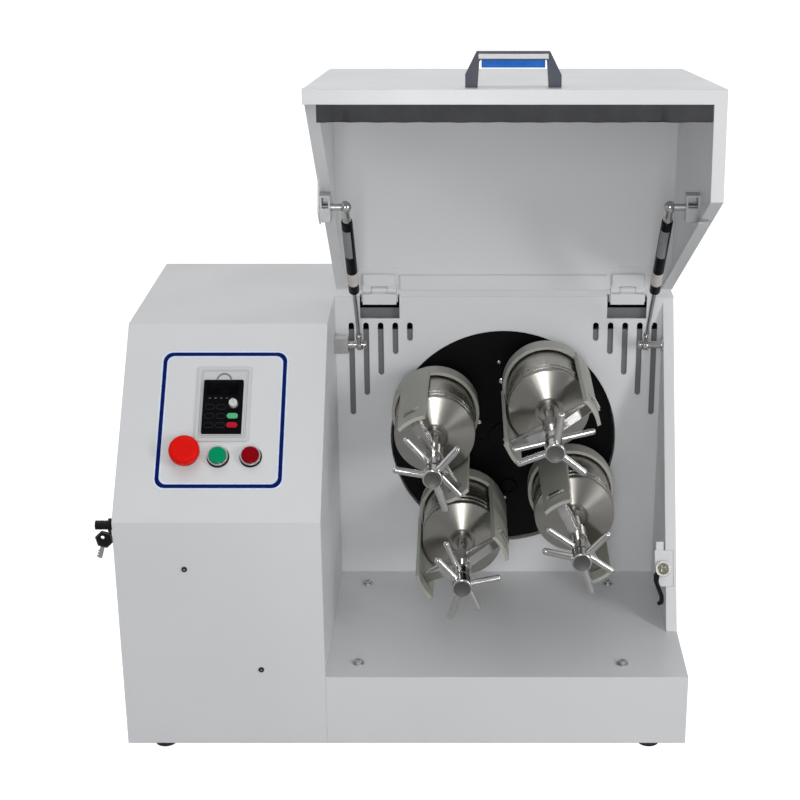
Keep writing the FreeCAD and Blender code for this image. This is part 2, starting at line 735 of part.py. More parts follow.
def jar_lid():
    rim = WALL_Y - JAR_FRONT
    face = rim - LID_DISC_T
    rim_part = cyl_y(JAR_R + 0.4, face, rim, 0, 0)
    cone = cone_y(JAR_BOSS_R + 6, JAR_R - 0.4, face - LID_CONE, face, 0, 0)
    boss = cyl_y(JAR_BOSS_R, face - LID_CONE - JAR_BOSS_T, face, 0, 0)
    plug = cyl_y(JAR_R - JAR_WALL - 0.3, rim, rim + 5, 0, 0)
    moat = cut(cyl_y(JAR_BOSS_R + 4, face - LID_CONE - 1, face - LID_CONE + 3, 0, 0),
               [cyl_y(JAR_BOSS_R, face - LID_CONE - 2, face - LID_CONE + 4, 0, 0)])
    seat_y = face - LID_CONE - JAR_BOSS_T
    seat = cyl_y(SCREW_R + 1.5, seat_y - 1, seat_y + 3, 0, 0)
    return cut(join([rim_part, cone, boss, plug]), [moat, seat])


def boss_front():
    """Where the press screw meets the jar lid."""
    return WALL_Y - JAR_FRONT - LID_DISC_T - LID_CONE - JAR_BOSS_T + 3.0


def crossbar():
    """Bridge with a deep middle, thin ends and a tab through each arm slot."""
    slot_y = WALL_Y - SLOT_AT
    back = slot_y + 3.0
    span = ARM_R - ARM_T - 1.0
    out = ARM_R + TAB_OUT
    points = [
        Vec(-span, back, -BRIDGE_W / 2), Vec(-span, back - BRIDGE_END, -BRIDGE_W / 2),
        Vec(-14, back - BRIDGE_MID, -BRIDGE_W / 2), Vec(14, back - BRIDGE_MID, -BRIDGE_W / 2),
        Vec(span, back - BRIDGE_END, -BRIDGE_W / 2), Vec(span, back, -BRIDGE_W / 2),
    ]
    web = Part.Face(Part.makePolygon(points + points[:1])).extrude(Vec(0, 0, BRIDGE_W))
    tabs = box(-out, slot_y - 2.5, -BRIDGE_W / 2 - 2, out, slot_y + 2.5, BRIDGE_W / 2 + 2)
    core = cyl_y(12.5, back - BRIDGE_MID - 3, back + 3, 0, 0)
    bore = cyl_y(SCREW_R + THREAD_GAP, back - 60, back + 60, 0, 0)
    return cut(join([web, tabs, core]), [bore])


def ball_ended(r, length):
    """A spoke along +X from the origin with a round end."""
    rod = cyl_x(r, 0, length - r, 0, 0)
    return join([rod, Part.makeSphere(r, Vec(length - r, 0, 0))])


def press_screw(k):
    front = WALL_Y - HUB_FRONTS[k]
    mid = front + HUB_T / 2
    shaft = cyl_y(SCREW_R, front + 2, boss_front(), 0, 0)
    hub = cyl_y(HUB_R, front, front + HUB_T, 0, 0)
    rims = [e for e in hub.Edges if e.BoundBox.YLength < 0.01]
    hub = hub.makeFillet(1.8, rims)
    spokes = []
    for i in range(3):
        spoke = ball_ended(SPOKE_R, SPOKE_REACH)
        spoke.translate(Vec(0, mid, 0))
        spoke.rotate(Vec(0, 0, 0), Vec(0, -1, 0), 120.0 * i)
        spokes.append(spoke)
    return place_unit(join([shaft, hub] + spokes), k, SPOKE_ANGLES[k])


def lock_nut(k):
    front = WALL_Y - NUT_AT - NUT_T / 2
    mid = front + NUT_T / 2
    hub = cyl_y(NUT_R, front, front + NUT_T, 0, 0)
    bridge_front = WALL_Y - SLOT_AT + 3.0 - BRIDGE_MID - 3
    neck = cyl_y(NUT_R - 3, front + NUT_T, bridge_front - 0.4, 0, 0)
    bars = []
    for i in range(2):
        bar = ball_ended(NUT_BAR_R, NUT_BAR_HALF)
        bar.translate(Vec(0, mid, 0))
        bar.rotate(Vec(0, 0, 0), Vec(0, -1, 0), 180.0 * i)
        bars.append(bar)
    bore = cyl_y(SCREW_R + THREAD_GAP, front - 9, bridge_front + 9, 0, 0)
    return place_unit(cut(join([hub, neck] + bars), [bore]), k, BAR_ANGLES[k])


# Lid and its struts

def lid_points():
    return {
        "foot": (FRONT + SIDE_FOOT_SET, FLOOR + LID_FOOT_GAP),
        "front": (FRONT + LID_FRONT_SET, FLOOR + LID_FOOT_GAP),
        "top": (FRONT + LID_TOP_SET, TOP - LID_TOP_DROP),
        "back": (HINGE_Y - LID_BACK_STOP, HINGE_Z),
    }


def strip_along(p, q, inward, thick, x0, x1):
    """A sheet strip from p to q, thickened to its inward side."""
    dy = q[0] - p[0]
    dz = q[1] - p[1]
    run = hypot(dy, dz)
    ny = -dz / run * thick * inward
    nz = dy / run * thick * inward
    return prism_x([p, q, (q[0] + ny, q[1] + nz), (p[0] + ny, p[1] + nz)], x0, x1)


def left_lug():
    """Ear on the left side sheet that carries the strut's bracket past the edge."""
    pts = lid_points()
    y0, z0 = pts["front"]
    y1, z1 = pts["back"]
    run = hypot(y1 - y0, z1 - z0)
    ey, ez = (y1 - y0) / run, (z1 - z0) / run
    cy, cz = closed_strut_point()
    out = (cy - y0) * ez - (cz - z0) * ey
    wide = LUG_HALF + 14

    def at(along, away):
        return cy + along * ey + away * ez, cz + along * ez - away * ey

    outline = [at(-wide, -out - 6), at(wide, -out - 6), at(LUG_HALF, LUG_HALF), at(-LUG_HALF, LUG_HALF)]
    return prism_x(outline, LID_X0, LID_X0 + SHEET)


def lid_shell():
    pts = lid_points()
    foot, front, top, back = pts["foot"], pts["front"], pts["top"], pts["back"]
    sides = [
        prism_x([front, top, back], LID_X0, LID_X0 + SHEET),
        left_lug(),
        prism_x([foot, front, top, back], LID_X1 - SHEET, LID_X1),
    ]
    face = strip_along(front, top, -1, SHEET, LID_X0, LID_X1)
    roof = strip_along(top, back, -1, SHEET, LID_X0, LID_X1)
    lower = (front[0] + LID_FRONT_FLANGE, front[1])
    sill = strip_along(front, lower, 1, SHEET, LID_X0, LID_X1)
    left_x = (LID_X0, LID_X0 + LID_FLANGE)
    right_x = (LID_X1 - LID_FLANGE, LID_X1)
    flanges = [
        strip_along(front, back, 1, SHEET, *left_x),
        strip_along(front, foot, 1, SHEET, *right_x),
        strip_along(foot, back, 1, SHEET, *right_x),
    ]
    dy = back[0] - top[0]
    dz = back[1] - top[1]
    run = hypot(dy, dz)

    def from_back(distance):
        return back[0] - dy / run * distance, back[1] - dz / run * distance

    stiff0 = HINGE_CENTRES[0] + STRAP_HALF + 6
    stiff1 = HINGE_CENTRES[1] - STRAP_HALF - 6
    stiffener = strip_along(from_back(STRAP_L), back, -1, 5.0, stiff0, stiff1)
    body = join(sides + [face, roof, sill, stiffener] + flanges)
    # Room for the lock's core and ring on the right side wall.
    clear = [on_side(cyl_z(LOCK_NOTCH_R, -6, 14, LOCK_CORE_X, LOCK_CORE_S))]
    for centre in HINGE_CENTRES:
        clear.append(box(centre - STRAP_HALF - 1, HINGE_Y - LID_HINGE_STOP, HINGE_Z - 9,
                         centre + STRAP_HALF + 1, HINGE_Y + 1, HINGE_Z + 2))
    shape = cut(body, clear)
    return opened(cut(join([shape] + lid_straps(from_back(STRAP_L))), lid_pin_ways()))


def lid_straps(root):
    """Strap under the roof at each hinge, with the two outer knuckles."""
    out = []
    stop = (HINGE_Y - KNUCKLE_R - 0.8, HINGE_Z - 0.5)
    for centre in HINGE_CENTRES:
        out.append(strip_along(root, stop, -1, STRAP_T, centre - STRAP_HALF, centre + STRAP_HALF))
        for x0, x1 in hinge_spans(centre, True):
            plate = strip_along(root, (HINGE_Y, HINGE_Z - 0.5), -1, STRAP_T, x0, x1)
            out.append(join([plate, cyl_x(KNUCKLE_R, x0, x1, HINGE_Y, HINGE_Z)]))
    return out


def lid_pin_ways():
    out = []
    for centre in HINGE_CENTRES:
        for x0, x1 in hinge_spans(centre, True):
            out.append(cyl_x(PIN_R + RUNNING_GAP, x0 - 1, x1 + 1, HINGE_Y, HINGE_Z))
    return out


def hinge_spans(centre, lid_side):
    """X spans of the knuckles: two on the lid outside one on the body."""
    inner = KNUCKLE_HALF
    if lid_side:
        return ((centre - STRAP_HALF, centre - inner - KNUCKLE_GAP),
                (centre + inner + KNUCKLE_GAP, centre + STRAP_HALF))
    return ((centre - inner, centre + inner),)


def hinge_brackets():
    out = []
    half = HINGE_CUT_W / 2
    for centre in HINGE_CENTRES:
        x0, x1 = hinge_spans(centre, False)[0]
        front_leaf = box(centre - STRAP_HALF, HINGE_Y - STRAP_T, TOP - LEAF_DROP,
                         centre + STRAP_HALF, HINGE_Y, HINGE_Z - KNUCKLE_R - 0.5)
        leaf = box(centre - half + 2, WALL_Y + 3, TOP - 9, centre + half - 2, WALL_Y + 6, TOP + 1.5)
        web = box(x0, HINGE_Y - 2.0, TOP - 3, x1, WALL_Y + 6, HINGE_Z - 1)
        knuckle = cyl_x(KNUCKLE_R, x0, x1, HINGE_Y, HINGE_Z)
        plate = box(centre - half - 10, WALL_Y + 11, TOP - HINGE_PLATE_DROP, centre + half + 10,
                    WALL_Y + 14, TOP - 3)
        cheeks = []
        for side in (-1, 1):
            c0, c1 = sorted((centre + side * (half + 2), centre + side * (half + 10)))
            cheeks.append(box(c0, WALL_Y + SHEET, TOP - HINGE_PLATE_DROP, c1, WALL_Y + 11, TOP - 3))
            l0, l1 = sorted((centre + side * (half - 6), centre + side * (half - 2)))
            cheeks.append(box(l0, WALL_Y + 3, TOP - 8, l1, WALL_Y + 12, TOP - 4))
        pin = cyl_x(PIN_R, centre - STRAP_HALF - 1, centre + STRAP_HALF + 1, HINGE_Y, HINGE_Z)
        out.append(join([front_leaf, leaf, web, knuckle, plate, pin] + cheeks))
    return group(out)


def handle_legs():
    """Handle in the closed frame of the front panel: u along X, v outward."""
    half = HANDLE_W / 2
    pts = lid_points()
    front, top = pts["front"], pts["top"]
    foot_depth = 13.0
    lean = 13.0
    parts = []
    for side in (-1, 1):
        outline = [
            Vec(side * half, 0, 0), Vec(side * half, 0, HANDLE_H * 0.35),
            Vec(side * (half - lean), 0, HANDLE_H), Vec(side * (half - lean - 16), 0, HANDLE_H),
            Vec(side * (half - lean - 3), 0, HANDLE_H - 11), Vec(side * (half - 14), 0, 0),
        ]
        face = Part.Face(Part.makePolygon(outline + outline[:1]))
        parts.append(face.extrude(Vec(0, foot_depth + 9, 0)))
    bar = box(-half + lean + 4, 0, HANDLE_H - 9, half - lean - 4, foot_depth + 9, HANDLE_H)
    whole = join(parts + [bar])
    whole.translate(Vec(HANDLE_X, HANDLE_SET, 0))
    angle = degrees(atan2(top[1] - front[1], top[0] - front[0]))
    return on_plane(whole, angle, front[0], front[1])


def lid_handle():
    return opened(handle_legs())


def closed_strut_point():
    dy = STRUT_LID_OPEN[0] - HINGE_Y
    dz = STRUT_LID_OPEN[1] - HINGE_Z
    a = radians(OPEN_ANGLE)
    return HINGE_Y + dy * cos(a) - dz * sin(a), HINGE_Z + dy * sin(a) + dz * cos(a)


def lid_strut_mounts():
    """Bent bracket and stud on each lid side; the stud stops at the strut's eye."""
    y, z = STRUT_LID_OPEN
    out = []
    walls = (LID_X0 + SHEET, LID_X1 - SHEET)
    for index, toward in ((0, 1), (1, -1)):
        x_wall = walls[index]
        x_face = x_wall + toward * BRACKET_SETS[index]
        tip = STRUT_XS[index] - toward * (STRUT_EYE_T / 2 + 0.6)
        x0, x1 = sorted((x_wall, x_face))
        block = box(x0, y - BRACKET_HALF_Y, z - BRACKET_HALF_Z, x1, y + BRACKET_HALF_Y,
                    z + BRACKET_HALF_Z)
        x0, x1 = sorted((x_wall + toward * 2.5, x_face - toward * 2.5))
        pocket = box(x0, y - BRACKET_HALF_Y - 1, z + 1, x1, y + BRACKET_HALF_Y - 2.5,
                     z + BRACKET_HALF_Z - 2.5)
        x0, x1 = sorted((x_wall + toward * 1, tip))
        out.append(join([cut(block, [pocket]), cyl_x(STRUT_PIN_R + 0.5, x0, x1, y, z)]))
    return group(out)


def strut_line():
    """Unit direction and length of an open strut from wall to lid."""
    dy = STRUT_LID_OPEN[0] - STRUT_WALL[0]
    dz = STRUT_LID_OPEN[1] - STRUT_WALL[1]
    run = hypot(dy, dz)
    return dy / run, dz / run, run


def along_strut(x, start, end, r):
    uy, uz, run = strut_line()
    y0, z0 = STRUT_WALL
    return Part.makeCylinder(r, end - start, Vec(x, y0 + uy * start, z0 + uz * start),
                             Vec(0, uy, uz))


def ball_eye(x, y, z, to_left, to_right):
    """Ball end of a strut, cut flat where a stud meets it."""
    reach = STRUT_EYE_R + 1
    slab = box(x - to_left, y - reach, z - reach, x + to_right, y + reach, z + reach)
    return Part.makeSphere(STRUT_EYE_R, Vec(x, y, z)).common(slab)


def strut_rod(index):
    x = STRUT_XS[index]
    y, z = STRUT_WALL
    uy, uz, run = strut_line()
    tube_end = run - STRUT_TOP_L - STRUT_TUBE_L
    eye = ball_eye(x, y, z, STRUT_EYE_T / 2, STRUT_EYE_T / 2)
    bore = cyl_x(STRUT_PIN_R + 0.1, x - 9, x + 9, y, z)
    socket = along_strut(x, STRUT_EYE_R - 1.6, 27, 4.6)
    root = along_strut(x, 3, STRUT_EYE_R + 3, 3.4)
    rod = along_strut(x, 20, tube_end + 14, STRUT_ROD_R)
    piston = along_strut(x, tube_end + 10, tube_end + 20, STRUT_TUBE_R - 1.6)
    return cut(join([eye, root, socket, rod, piston]), [bore])


def strut_cylinder(index):
    x = STRUT_XS[index]
    y, z = STRUT_LID_OPEN
    uy, uz, run = strut_line()
    low = run - STRUT_TOP_L - STRUT_TUBE_L
    high = run - STRUT_TOP_L
    tube = along_strut(x, low, high, STRUT_TUBE_R)
    inside = along_strut(x, low + 4, high - 4, STRUT_TUBE_R - 1.5)
    mouth = along_strut(x, low - 1, low + 5, STRUT_ROD_R + 0.1)
    neck = along_strut(x, high - 1, run - 4, 4.6)
    open_side = STRUT_EYE_T / 2
    full = STRUT_EYE_R + 1
    eye = ball_eye(x, y, z, open_side, full) if index == 0 else ball_eye(x, y, z, full, open_side)
    return cut(join([tube, neck, eye]), [inside, mouth])


# Controls

def keypad_unit():
    x0, s0 = KEYPAD_AT
    base = rounded_plate(x0, s0, 0, x0 + KEYPAD_W, s0 + KEYPAD_L, KEYPAD_T, 4.0)
    fx, fs = FACE_AT
    face = rounded_plate(fx, fs, KEYPAD_T, fx + FACE_W, fs + FACE_L, KEYPAD_T + FACE_T, 3.0)
    notch = cyl_z(13.0, KEYPAD_T - 1.2, KEYPAD_T + 8, fx + FACE_W / 2, fs + FACE_L + 8)
    top = KEYPAD_T + FACE_T
    window = box(fx + 8, fs + FACE_L - 24, top - 1.5, fx + FACE_W - 8, fs + FACE_L - 8, top + 1)
    wells = [cyl_z(KNOB_R + 0.6, top - WELL_DEPTH, top + 1, *KNOB_AT)]
    half_x = KEY_CAP_HALF_X + KEY_CAP_GAP
    half_s = KEY_CAP_HALF_S + KEY_CAP_GAP
    for x, s in (RUN_AT, HALT_AT):
        wells.append(box(x - half_x, s - half_s, top - WELL_DEPTH, x + half_x, s + half_s, top + 1))
    keys = []
    for col in range(2):
        for row in range(3):
            kx = fx + 8 + col * 12
            ks = fs + 8 + row * 12
            keys.append(rounded_plate(kx, ks, top - 0.5, kx + 9, ks + 7, top + 1.2, 1.5))
    return on_slope(join([cut(join([base, face]), [notch, window] + wells)] + keys))


def key_top():
    return KEYPAD_T + FACE_T


def small_key(at):
    x, s = at
    half_x, half_s = KEY_CAP_HALF_X, KEY_CAP_HALF_S
    cap = rounded_plate(x - half_x, s - half_s, key_top() - 1.8, x + half_x, s + half_s,
                        key_top() + 1.6, half_s - 0.1)
    return on_slope(cap)


def keypad_knob():
    x, s = KNOB_AT
    body = cyl_z(KNOB_R, key_top() - 2.8, key_top() + 7, x, s)
    mark = box(x - 0.6, s, key_top() + 6, x + 0.6, s + KNOB_R + 0.5, key_top() + 8)
    return on_slope(cut(body, [mark]))


def collar(at, outer_r, height, inner_r, recess_r):
    x, s = at
    ring = cyl_z(outer_r, 0, height, x, s)
    barrel = cyl_z(BUTTON_HOLE_R - 0.1, -38, 0, x, s)
    nut = cyl_z(BUTTON_HOLE_R + 4, -9, -3, x, s)
    bore = cyl_z(inner_r, -20, height + 1, x, s)
    recess = cyl_z(recess_r, COLLAR_FLOOR, height + 1, x, s)
    return cut(join([ring, barrel, nut]), [bore, recess])


def button_collars():
    bore_r = ESTOP_STEM_R + BUTTON_GAP
    rings = [collar(ESTOP_AT, ESTOP_COLLAR_R, ESTOP_COLLAR_H, bore_r, bore_r)]
    for at in (START_AT, STOP_AT):
        rings.append(collar(at, COLLAR_R, COLLAR_H, BUTTON_STEM_R + BUTTON_GAP,
                            BUTTON_HEAD_R + BUTTON_GAP))
    return on_slope(group(rings))


def estop_head():
    x, s = ESTOP_AT
    top = ESTOP_HEAD_N + ESTOP_HEAD_T
    stem = cyl_z(ESTOP_STEM_R, -12, ESTOP_HEAD_N, x, s)
    head = cyl_z(ESTOP_HEAD_R, ESTOP_HEAD_N, top, x, s)
    rims = [e for e in head.Edges if e.BoundBox.ZLength < 0.01 and e.BoundBox.ZMin > top - 1]
    return on_slope(join([stem, head.makeFillet(ESTOP_HEAD_T / 2, rims)]))


def push_button(at):
    x, s = at
    stem = cyl_z(BUTTON_STEM_R, -12, BUTTON_HEAD_N, x, s)
    head = cyl_z(BUTTON_HEAD_R, BUTTON_HEAD_N, BUTTON_TOP, x, s)
    rims = [e for e in head.Edges if e.BoundBox.ZLength < 0.01 and e.BoundBox.ZMin > BUTTON_TOP - 1]
    return on_slope(join([stem, head.makeFillet(1.5, rims)]))


def key_switch():
    y = FRONT + KEYSW_SET
    z = BASE + KEYSW_H
    barrel = cyl_x(KEYSW_R, LEFT - KEYSW_L, LEFT, y, z)
    flange = cyl_x(KEYSW_R + 3, LEFT - 2, LEFT, y, z)
    inner = cyl_x(KEYSW_R - 1.4, LEFT, LEFT + 18, y, z)
    grooves = []
    for i in range(5):
        x0 = LEFT - KEYSW_L + 2 + i * 3.2
        grooves.append(cut(cyl_x(KEYSW_R + 1, x0, x0 + 1.2, y, z),
                           [cyl_x(KEYSW_R - 0.7, x0 - 1, x0 + 2.2, y, z)]))
    x0 = LEFT - KEY_NECK_SET - KEY_T / 2 - 0.5
    x1 = x0 + KEY_T + 1
    hang = cut(cyl_x(KEYSW_R + 1, x0, x1, y, z), [cyl_x(KEYSW_R - 1.2, x0 - 1, x1 + 1, y, z)])
    return cut(join([barrel, flange, inner]), grooves + [hang])


def hanging_key():
    """Spare key: an eye on the neck of the key switch, and a bow that faces the front."""
    y = FRONT + KEYSW_SET
    z = BASE + KEYSW_H
    half = KEY_T / 2
    x0 = LEFT - KEY_NECK_SET - half
    x1 = LEFT - KEY_NECK_SET + half
    eye = cyl_x(KEY_EYE_R, x0, x1, y, z)
    neck = box(x0, y - half, z - KEY_BOW_DROP + 2, x1, y + half, z - KEY_EYE_R + 2)
    bow_x = LEFT - KEY_BOW_SET
    bow_z = z - KEY_BOW_DROP
    hexagon = []
    for i in range(6):
        a = radians(60 * i)
        hexagon.append((bow_x + KEY_BOW_R * cos(a), bow_z + KEY_BOW_R * sin(a)))
    bow = prism_y(hexagon, y - half, y + half)
    low = bow_z - KEY_BOW_R - KEY_BLADE_L
    blade = box(bow_x - 2.6, y - half + 0.5, low, bow_x + 2.6, y + half - 0.5, bow_z)
    bits = [box(bow_x - 4.2, y - half + 0.5, low + 1 + i * 4, bow_x - 2.0, y + half - 0.5, low + 3 + i * 4)
            for i in range(3)]
    grip = join([bow, blade] + bits)
    grip.rotate(Vec(bow_x, y, bow_z), Vec(0, 1, 0), KEY_LEAN)
    bore = cyl_x(KEYSW_R - 1.2 + BUTTON_GAP, x0 - 1, x1 + 1, y, z)
    hole = cyl_y(2.6, y - half - 1, y + half + 1, bow_x - 2, bow_z + 3)
    return cut(join([eye, neck, grip]), [bore, hole])


def lock_case():
    front = 1.4
    plate = box(LOCK_X0, LOCK_S0, -3, LOCK_X1 - 0.5, LOCK_S1, front)
    case = box(LOCK_X0, LOCK_S0 + 2, -30, SIDE_IN - 0.2, LOCK_S1 - 2, -3)
    body = box(SIDE_IN - 1, LOCK_S0 + 4, -26, LOCK_X1 - 3, LOCK_S1 - 4, -3)
    bumper = box(BUMPER_X0, LOCK_S1 - 2, -10, BUMPER_X1, LOCK_S1 + 12, 1.0)
    bore = cyl_z(LOCK_CORE_R + RUNNING_GAP, -22, 3, LOCK_CORE_X, LOCK_CORE_S)
    return on_side(cut(join([plate, case, body, bumper]), [bore]))


def lock_barrel():
    front = HOOK_LIFT + HOOK_T + 0.6
    core = cyl_z(LOCK_CORE_R, -20, front, LOCK_CORE_X, LOCK_CORE_S)
    slot = box(LOCK_CORE_X - 0.7, LOCK_CORE_S - 4, front - 3, LOCK_CORE_X + 0.7, LOCK_CORE_S + 4,
               front + 1)
    return on_side(cut(core, [slot]))


def lock_hook():
    """Cam of the lock: a bent arm with a claw, turned over the lid's flange."""
    z0 = HOOK_LIFT
    z1 = HOOK_LIFT + HOOK_T
    ring = cyl_z(HOOK_RING_R, z0, z1, LOCK_CORE_X, LOCK_CORE_S)
    core_way = cyl_z(LOCK_CORE_R + HOOK_GAP, 0, 20, LOCK_CORE_X, LOCK_CORE_S)
    bend = ((-8, 0), (-13.5, -8), (-13.5, -17), (-5.5, -39), (-6, -44), (-9.5, -47), (-8, -51),
            (-2, -49.5), (0.2, -46), (0.2, -38), (-7, -18), (-4, -8))
    points = [Vec(LOCK_CORE_X + x, LOCK_CORE_S + s, z0) for x, s in bend]
    arm = Part.Face(Part.makePolygon(points + points[:1])).extrude(Vec(0, 0, HOOK_T))
    return on_side(cut(join([ring, arm]), [core_way]))


NODES = {
    "base_plinth": base_plinth,
    "cabinet_shell": cabinet_shell,
    "chamber_shell": chamber_shell,
    "rear_panel": rear_panel,
    "body_hardware": body_hardware,
    "feet": feet,
    "power_inlet": power_inlet,
    "gear_housing": gear_housing,
    "drive_frame": drive_frame,
    "motor": motor,
    "drive_belt": drive_belt,
    "inverter": inverter,
    "hinge_brackets": hinge_brackets,
    "keypad_unit": keypad_unit,
    "button_collars": button_collars,
    "key_switch": key_switch,
    "lock_case": lock_case,
    "carrier_disc": carrier_disc,
    "drive_shaft": drive_shaft,
    "motor_pulley": motor_pulley,
    "lid_shell": lid_shell,
    "lid_handle": lid_handle,
    "lid_strut_mounts": lid_strut_mounts,
    "estop_head": estop_head,
    "start_button": lambda: push_button(START_AT),
    "stop_button": lambda: push_button(STOP_AT),
    "keypad_knob": keypad_knob,
    "run_key": lambda: small_key(RUN_AT),
    "halt_key": lambda: small_key(HALT_AT),
    "hanging_key": hanging_key,
    "lock_barrel": lock_barrel,
    "lock_hook": lock_hook,
}


def add_struts(nodes):
    for index, side in enumerate(("left", "right")):
        nodes["strut_rod_" + side] = strut_rod(index)
        nodes["strut_cylinder_" + side] = strut_cylinder(index)


def add_units(nodes):
    for k, name in enumerate(UNIT_NAMES):
        nodes["jar_holder_" + name] = jar_holder(k)
        nodes["jar_" + name] = place_unit(jar_body(), k)
        nodes["jar_lid_" + name] = place_unit(jar_lid(), k)
        nodes["crossbar_" + name] = place_unit(crossbar(), k)
        nodes["press_screw_" + name] = press_screw(k)
        nodes["lock_nut_" + name] = lock_nut(k)


def main():
    os.makedirs("parts", exist_ok=True)
    nodes = {name: make() for name, make in NODES.items()}
    add_struts(nodes)
    add_units(nodes)
    for name, shape in nodes.items():
        shape.exportStep("parts/" + name + ".step")
        size = shape.BoundBox
        print("%-20s valid %s solids %d volume %.0f z %.1f to %.1f" % (
            name, shape.isValid(), len(shape.Solids), shape.Volume, size.ZMin, size.ZMax))
    print("nodes", len(nodes))


main()
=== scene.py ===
"""Looks of the horizontal ball mill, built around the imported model. Metres, Z up, front faces -Y."""
import math

import bmesh
import bpy
from mathutils import Matrix, Vector


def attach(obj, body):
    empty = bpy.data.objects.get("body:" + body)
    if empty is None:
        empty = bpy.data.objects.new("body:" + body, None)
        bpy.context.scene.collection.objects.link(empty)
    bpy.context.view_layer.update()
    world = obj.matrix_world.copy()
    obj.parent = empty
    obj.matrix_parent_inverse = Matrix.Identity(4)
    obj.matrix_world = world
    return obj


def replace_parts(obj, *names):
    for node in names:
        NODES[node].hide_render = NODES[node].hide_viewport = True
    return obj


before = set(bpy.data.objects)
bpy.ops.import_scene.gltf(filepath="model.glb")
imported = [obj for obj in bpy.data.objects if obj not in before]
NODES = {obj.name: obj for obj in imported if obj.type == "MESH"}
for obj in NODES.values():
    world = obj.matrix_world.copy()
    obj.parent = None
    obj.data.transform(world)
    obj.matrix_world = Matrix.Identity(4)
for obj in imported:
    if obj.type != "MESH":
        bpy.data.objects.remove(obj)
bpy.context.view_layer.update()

MM = 0.001
scene = bpy.context.scene

# Sizes repeated from the part's source, in millimetres
BODY_W, BODY_D, BODY_H = 750.0, 500.0, 531.0
LEFT, RIGHT, FRONT, BACK = -375.0, 375.0, -250.0, 250.0
BASE, FLOOR, TOP = 8.0, 108.0, 539.0
SHEET = 2.0
CABINET_RIGHT = LEFT + 268.0
SIDE_IN = RIGHT - 15.0
WALL_Y = FRONT + 322.0
CHAMBER_MID = (CABINET_RIGHT + RIGHT) / 2
BEND_H, SLOPE_BACK = 324.0, 194.0
SLOPE_ANGLE = math.atan2(BODY_H - BEND_H, SLOPE_BACK)
SIDE_FOOT_Y = FRONT + 129.0
SIDE_ANGLE = math.atan2(TOP - FLOOR, 197.0)
HINGE_Y, HINGE_Z = WALL_Y, TOP + 10.0
OPEN_ANGLE = math.radians(94.3)
LID_X0, LID_X1 = CABINET_RIGHT + 3.0, RIGHT - 3.0
LID_FLANGE = 15.0
SILL_Y0_SET, LID_TOP_SET, LID_TOP_DROP = 2.0, 11.0, 17.0
SILL_Y0, SILL_Y1, SILL_Z = FRONT + SILL_Y0_SET, FRONT + 19.0, FLOOR + 2.0
HINGE_CENTRES = (CABINET_RIGHT + 64.0, RIGHT - 66.0)
HINGE_CUT_HALF = 28.0
STRAP_HALF, STRAP_END, STRAP_L = 24.0, 10.0, 22.0
HANDLE_X = CHAMBER_MID - 1.0
HANDLE_SET, HANDLE_H, HANDLE_HALF = 28.0, 40.0, 54.5
STRUT_XS = (CABINET_RIGHT + 36.0, RIGHT - 41.0)
STRUT_LOW = (HINGE_Y - 22.0, TOP - 64.3)
STRUT_HIGH = (HINGE_Y - 242.0, HINGE_Z + 177.1)
STRUT_TUBE_R, STRUT_TUBE_L, STRUT_TOP_L, STRUT_EYE_R = 7.3, 165.0, 29.0, 8.2
DISC_X, DISC_Z = CHAMBER_MID, (FLOOR + TOP) / 2 + 0.5
DISC_Y, DISC_R = WALL_Y + 8.0, 162.0
JAR_CIRCLE, JAR_FIRST_ANGLE = 114.0, 58.6
JAR_R, JAR_FRONT, LID_DISC_T, LID_CONE, JAR_BOSS_T = 55.0, 135.0, 7.0, 10.0, 5.0
SCREW_R = 6.0
SLOT_AT, BRIDGE_BACK = 207.0, 6.0
NUT_FRONT = 270.0
HUB_FRONTS, HUB_T, HUB_R = (307.0, 302.0, 299.0, 300.0), 23.0, 13.2
SPOKE_ANGLES = (81.0, 49.5, 12.0, 46.5)
ESTOP_AT, START_AT, STOP_AT = (88.8, 94.7), (131.6, 90.2), (174.2, 90.5)
ESTOP_COLLAR_R, COLLAR_R = 15.5, 13.5
PANEL_X, PANEL_S = (48.7, 218.2), (45.0, 242.6)
KEYPAD_X, KEYPAD_S, KEYPAD_T = (98.7, 170.7), (111.8, 218.8), 2.5
FACE_X, FACE_S, FACE_TOP = (107.7, 160.2), (121.3, 198.3), 6.0
KNOB_AT, KNOB_R = (148.6, 162.8), 5.4
SMALL_KEYS_X, SMALL_KEYS_S, SMALL_KEY = (117.4, 132.7), (132.8, 145.8, 158.8), (6.5, 3.7)
KEY_Y, KEY_X, KEY_Z, KEY_BOW_R, KEY_BLADE_L, KEY_LEAN = FRONT + 40.0, LEFT - 20.0, BASE + 282.5, 12.4, 15.0, -16.0
LOCK_CORE_X, LOCK_CORE_S, LOCK_CORE_R = RIGHT - 19.0, 87.6, 8.0
LOCK_FRONT = 9.6
HOOK_LIFT, HOOK_T, HOOK_RING_R = 5.0, 4.0, 11.0
VENT_W, VENT_TOP, VENT_STEP, VENT_EDGE = 8.0, TOP - 38.6, 20.9, 24.4
VENT_LENGTHS = (139.8, 109.5, 78.7, 47.5, 27.3)
FLOOR_BOLTS = ((CABINET_RIGHT + 41.0, WALL_Y - 40.5), (CABINET_RIGHT + 41.5, FRONT + 38.5),
               (RIGHT - 84.5, FRONT + 36.5), (RIGHT - 84.5, WALL_Y - 41.0))
UNITS = ("1", "2", "3", "4")


# Node materials

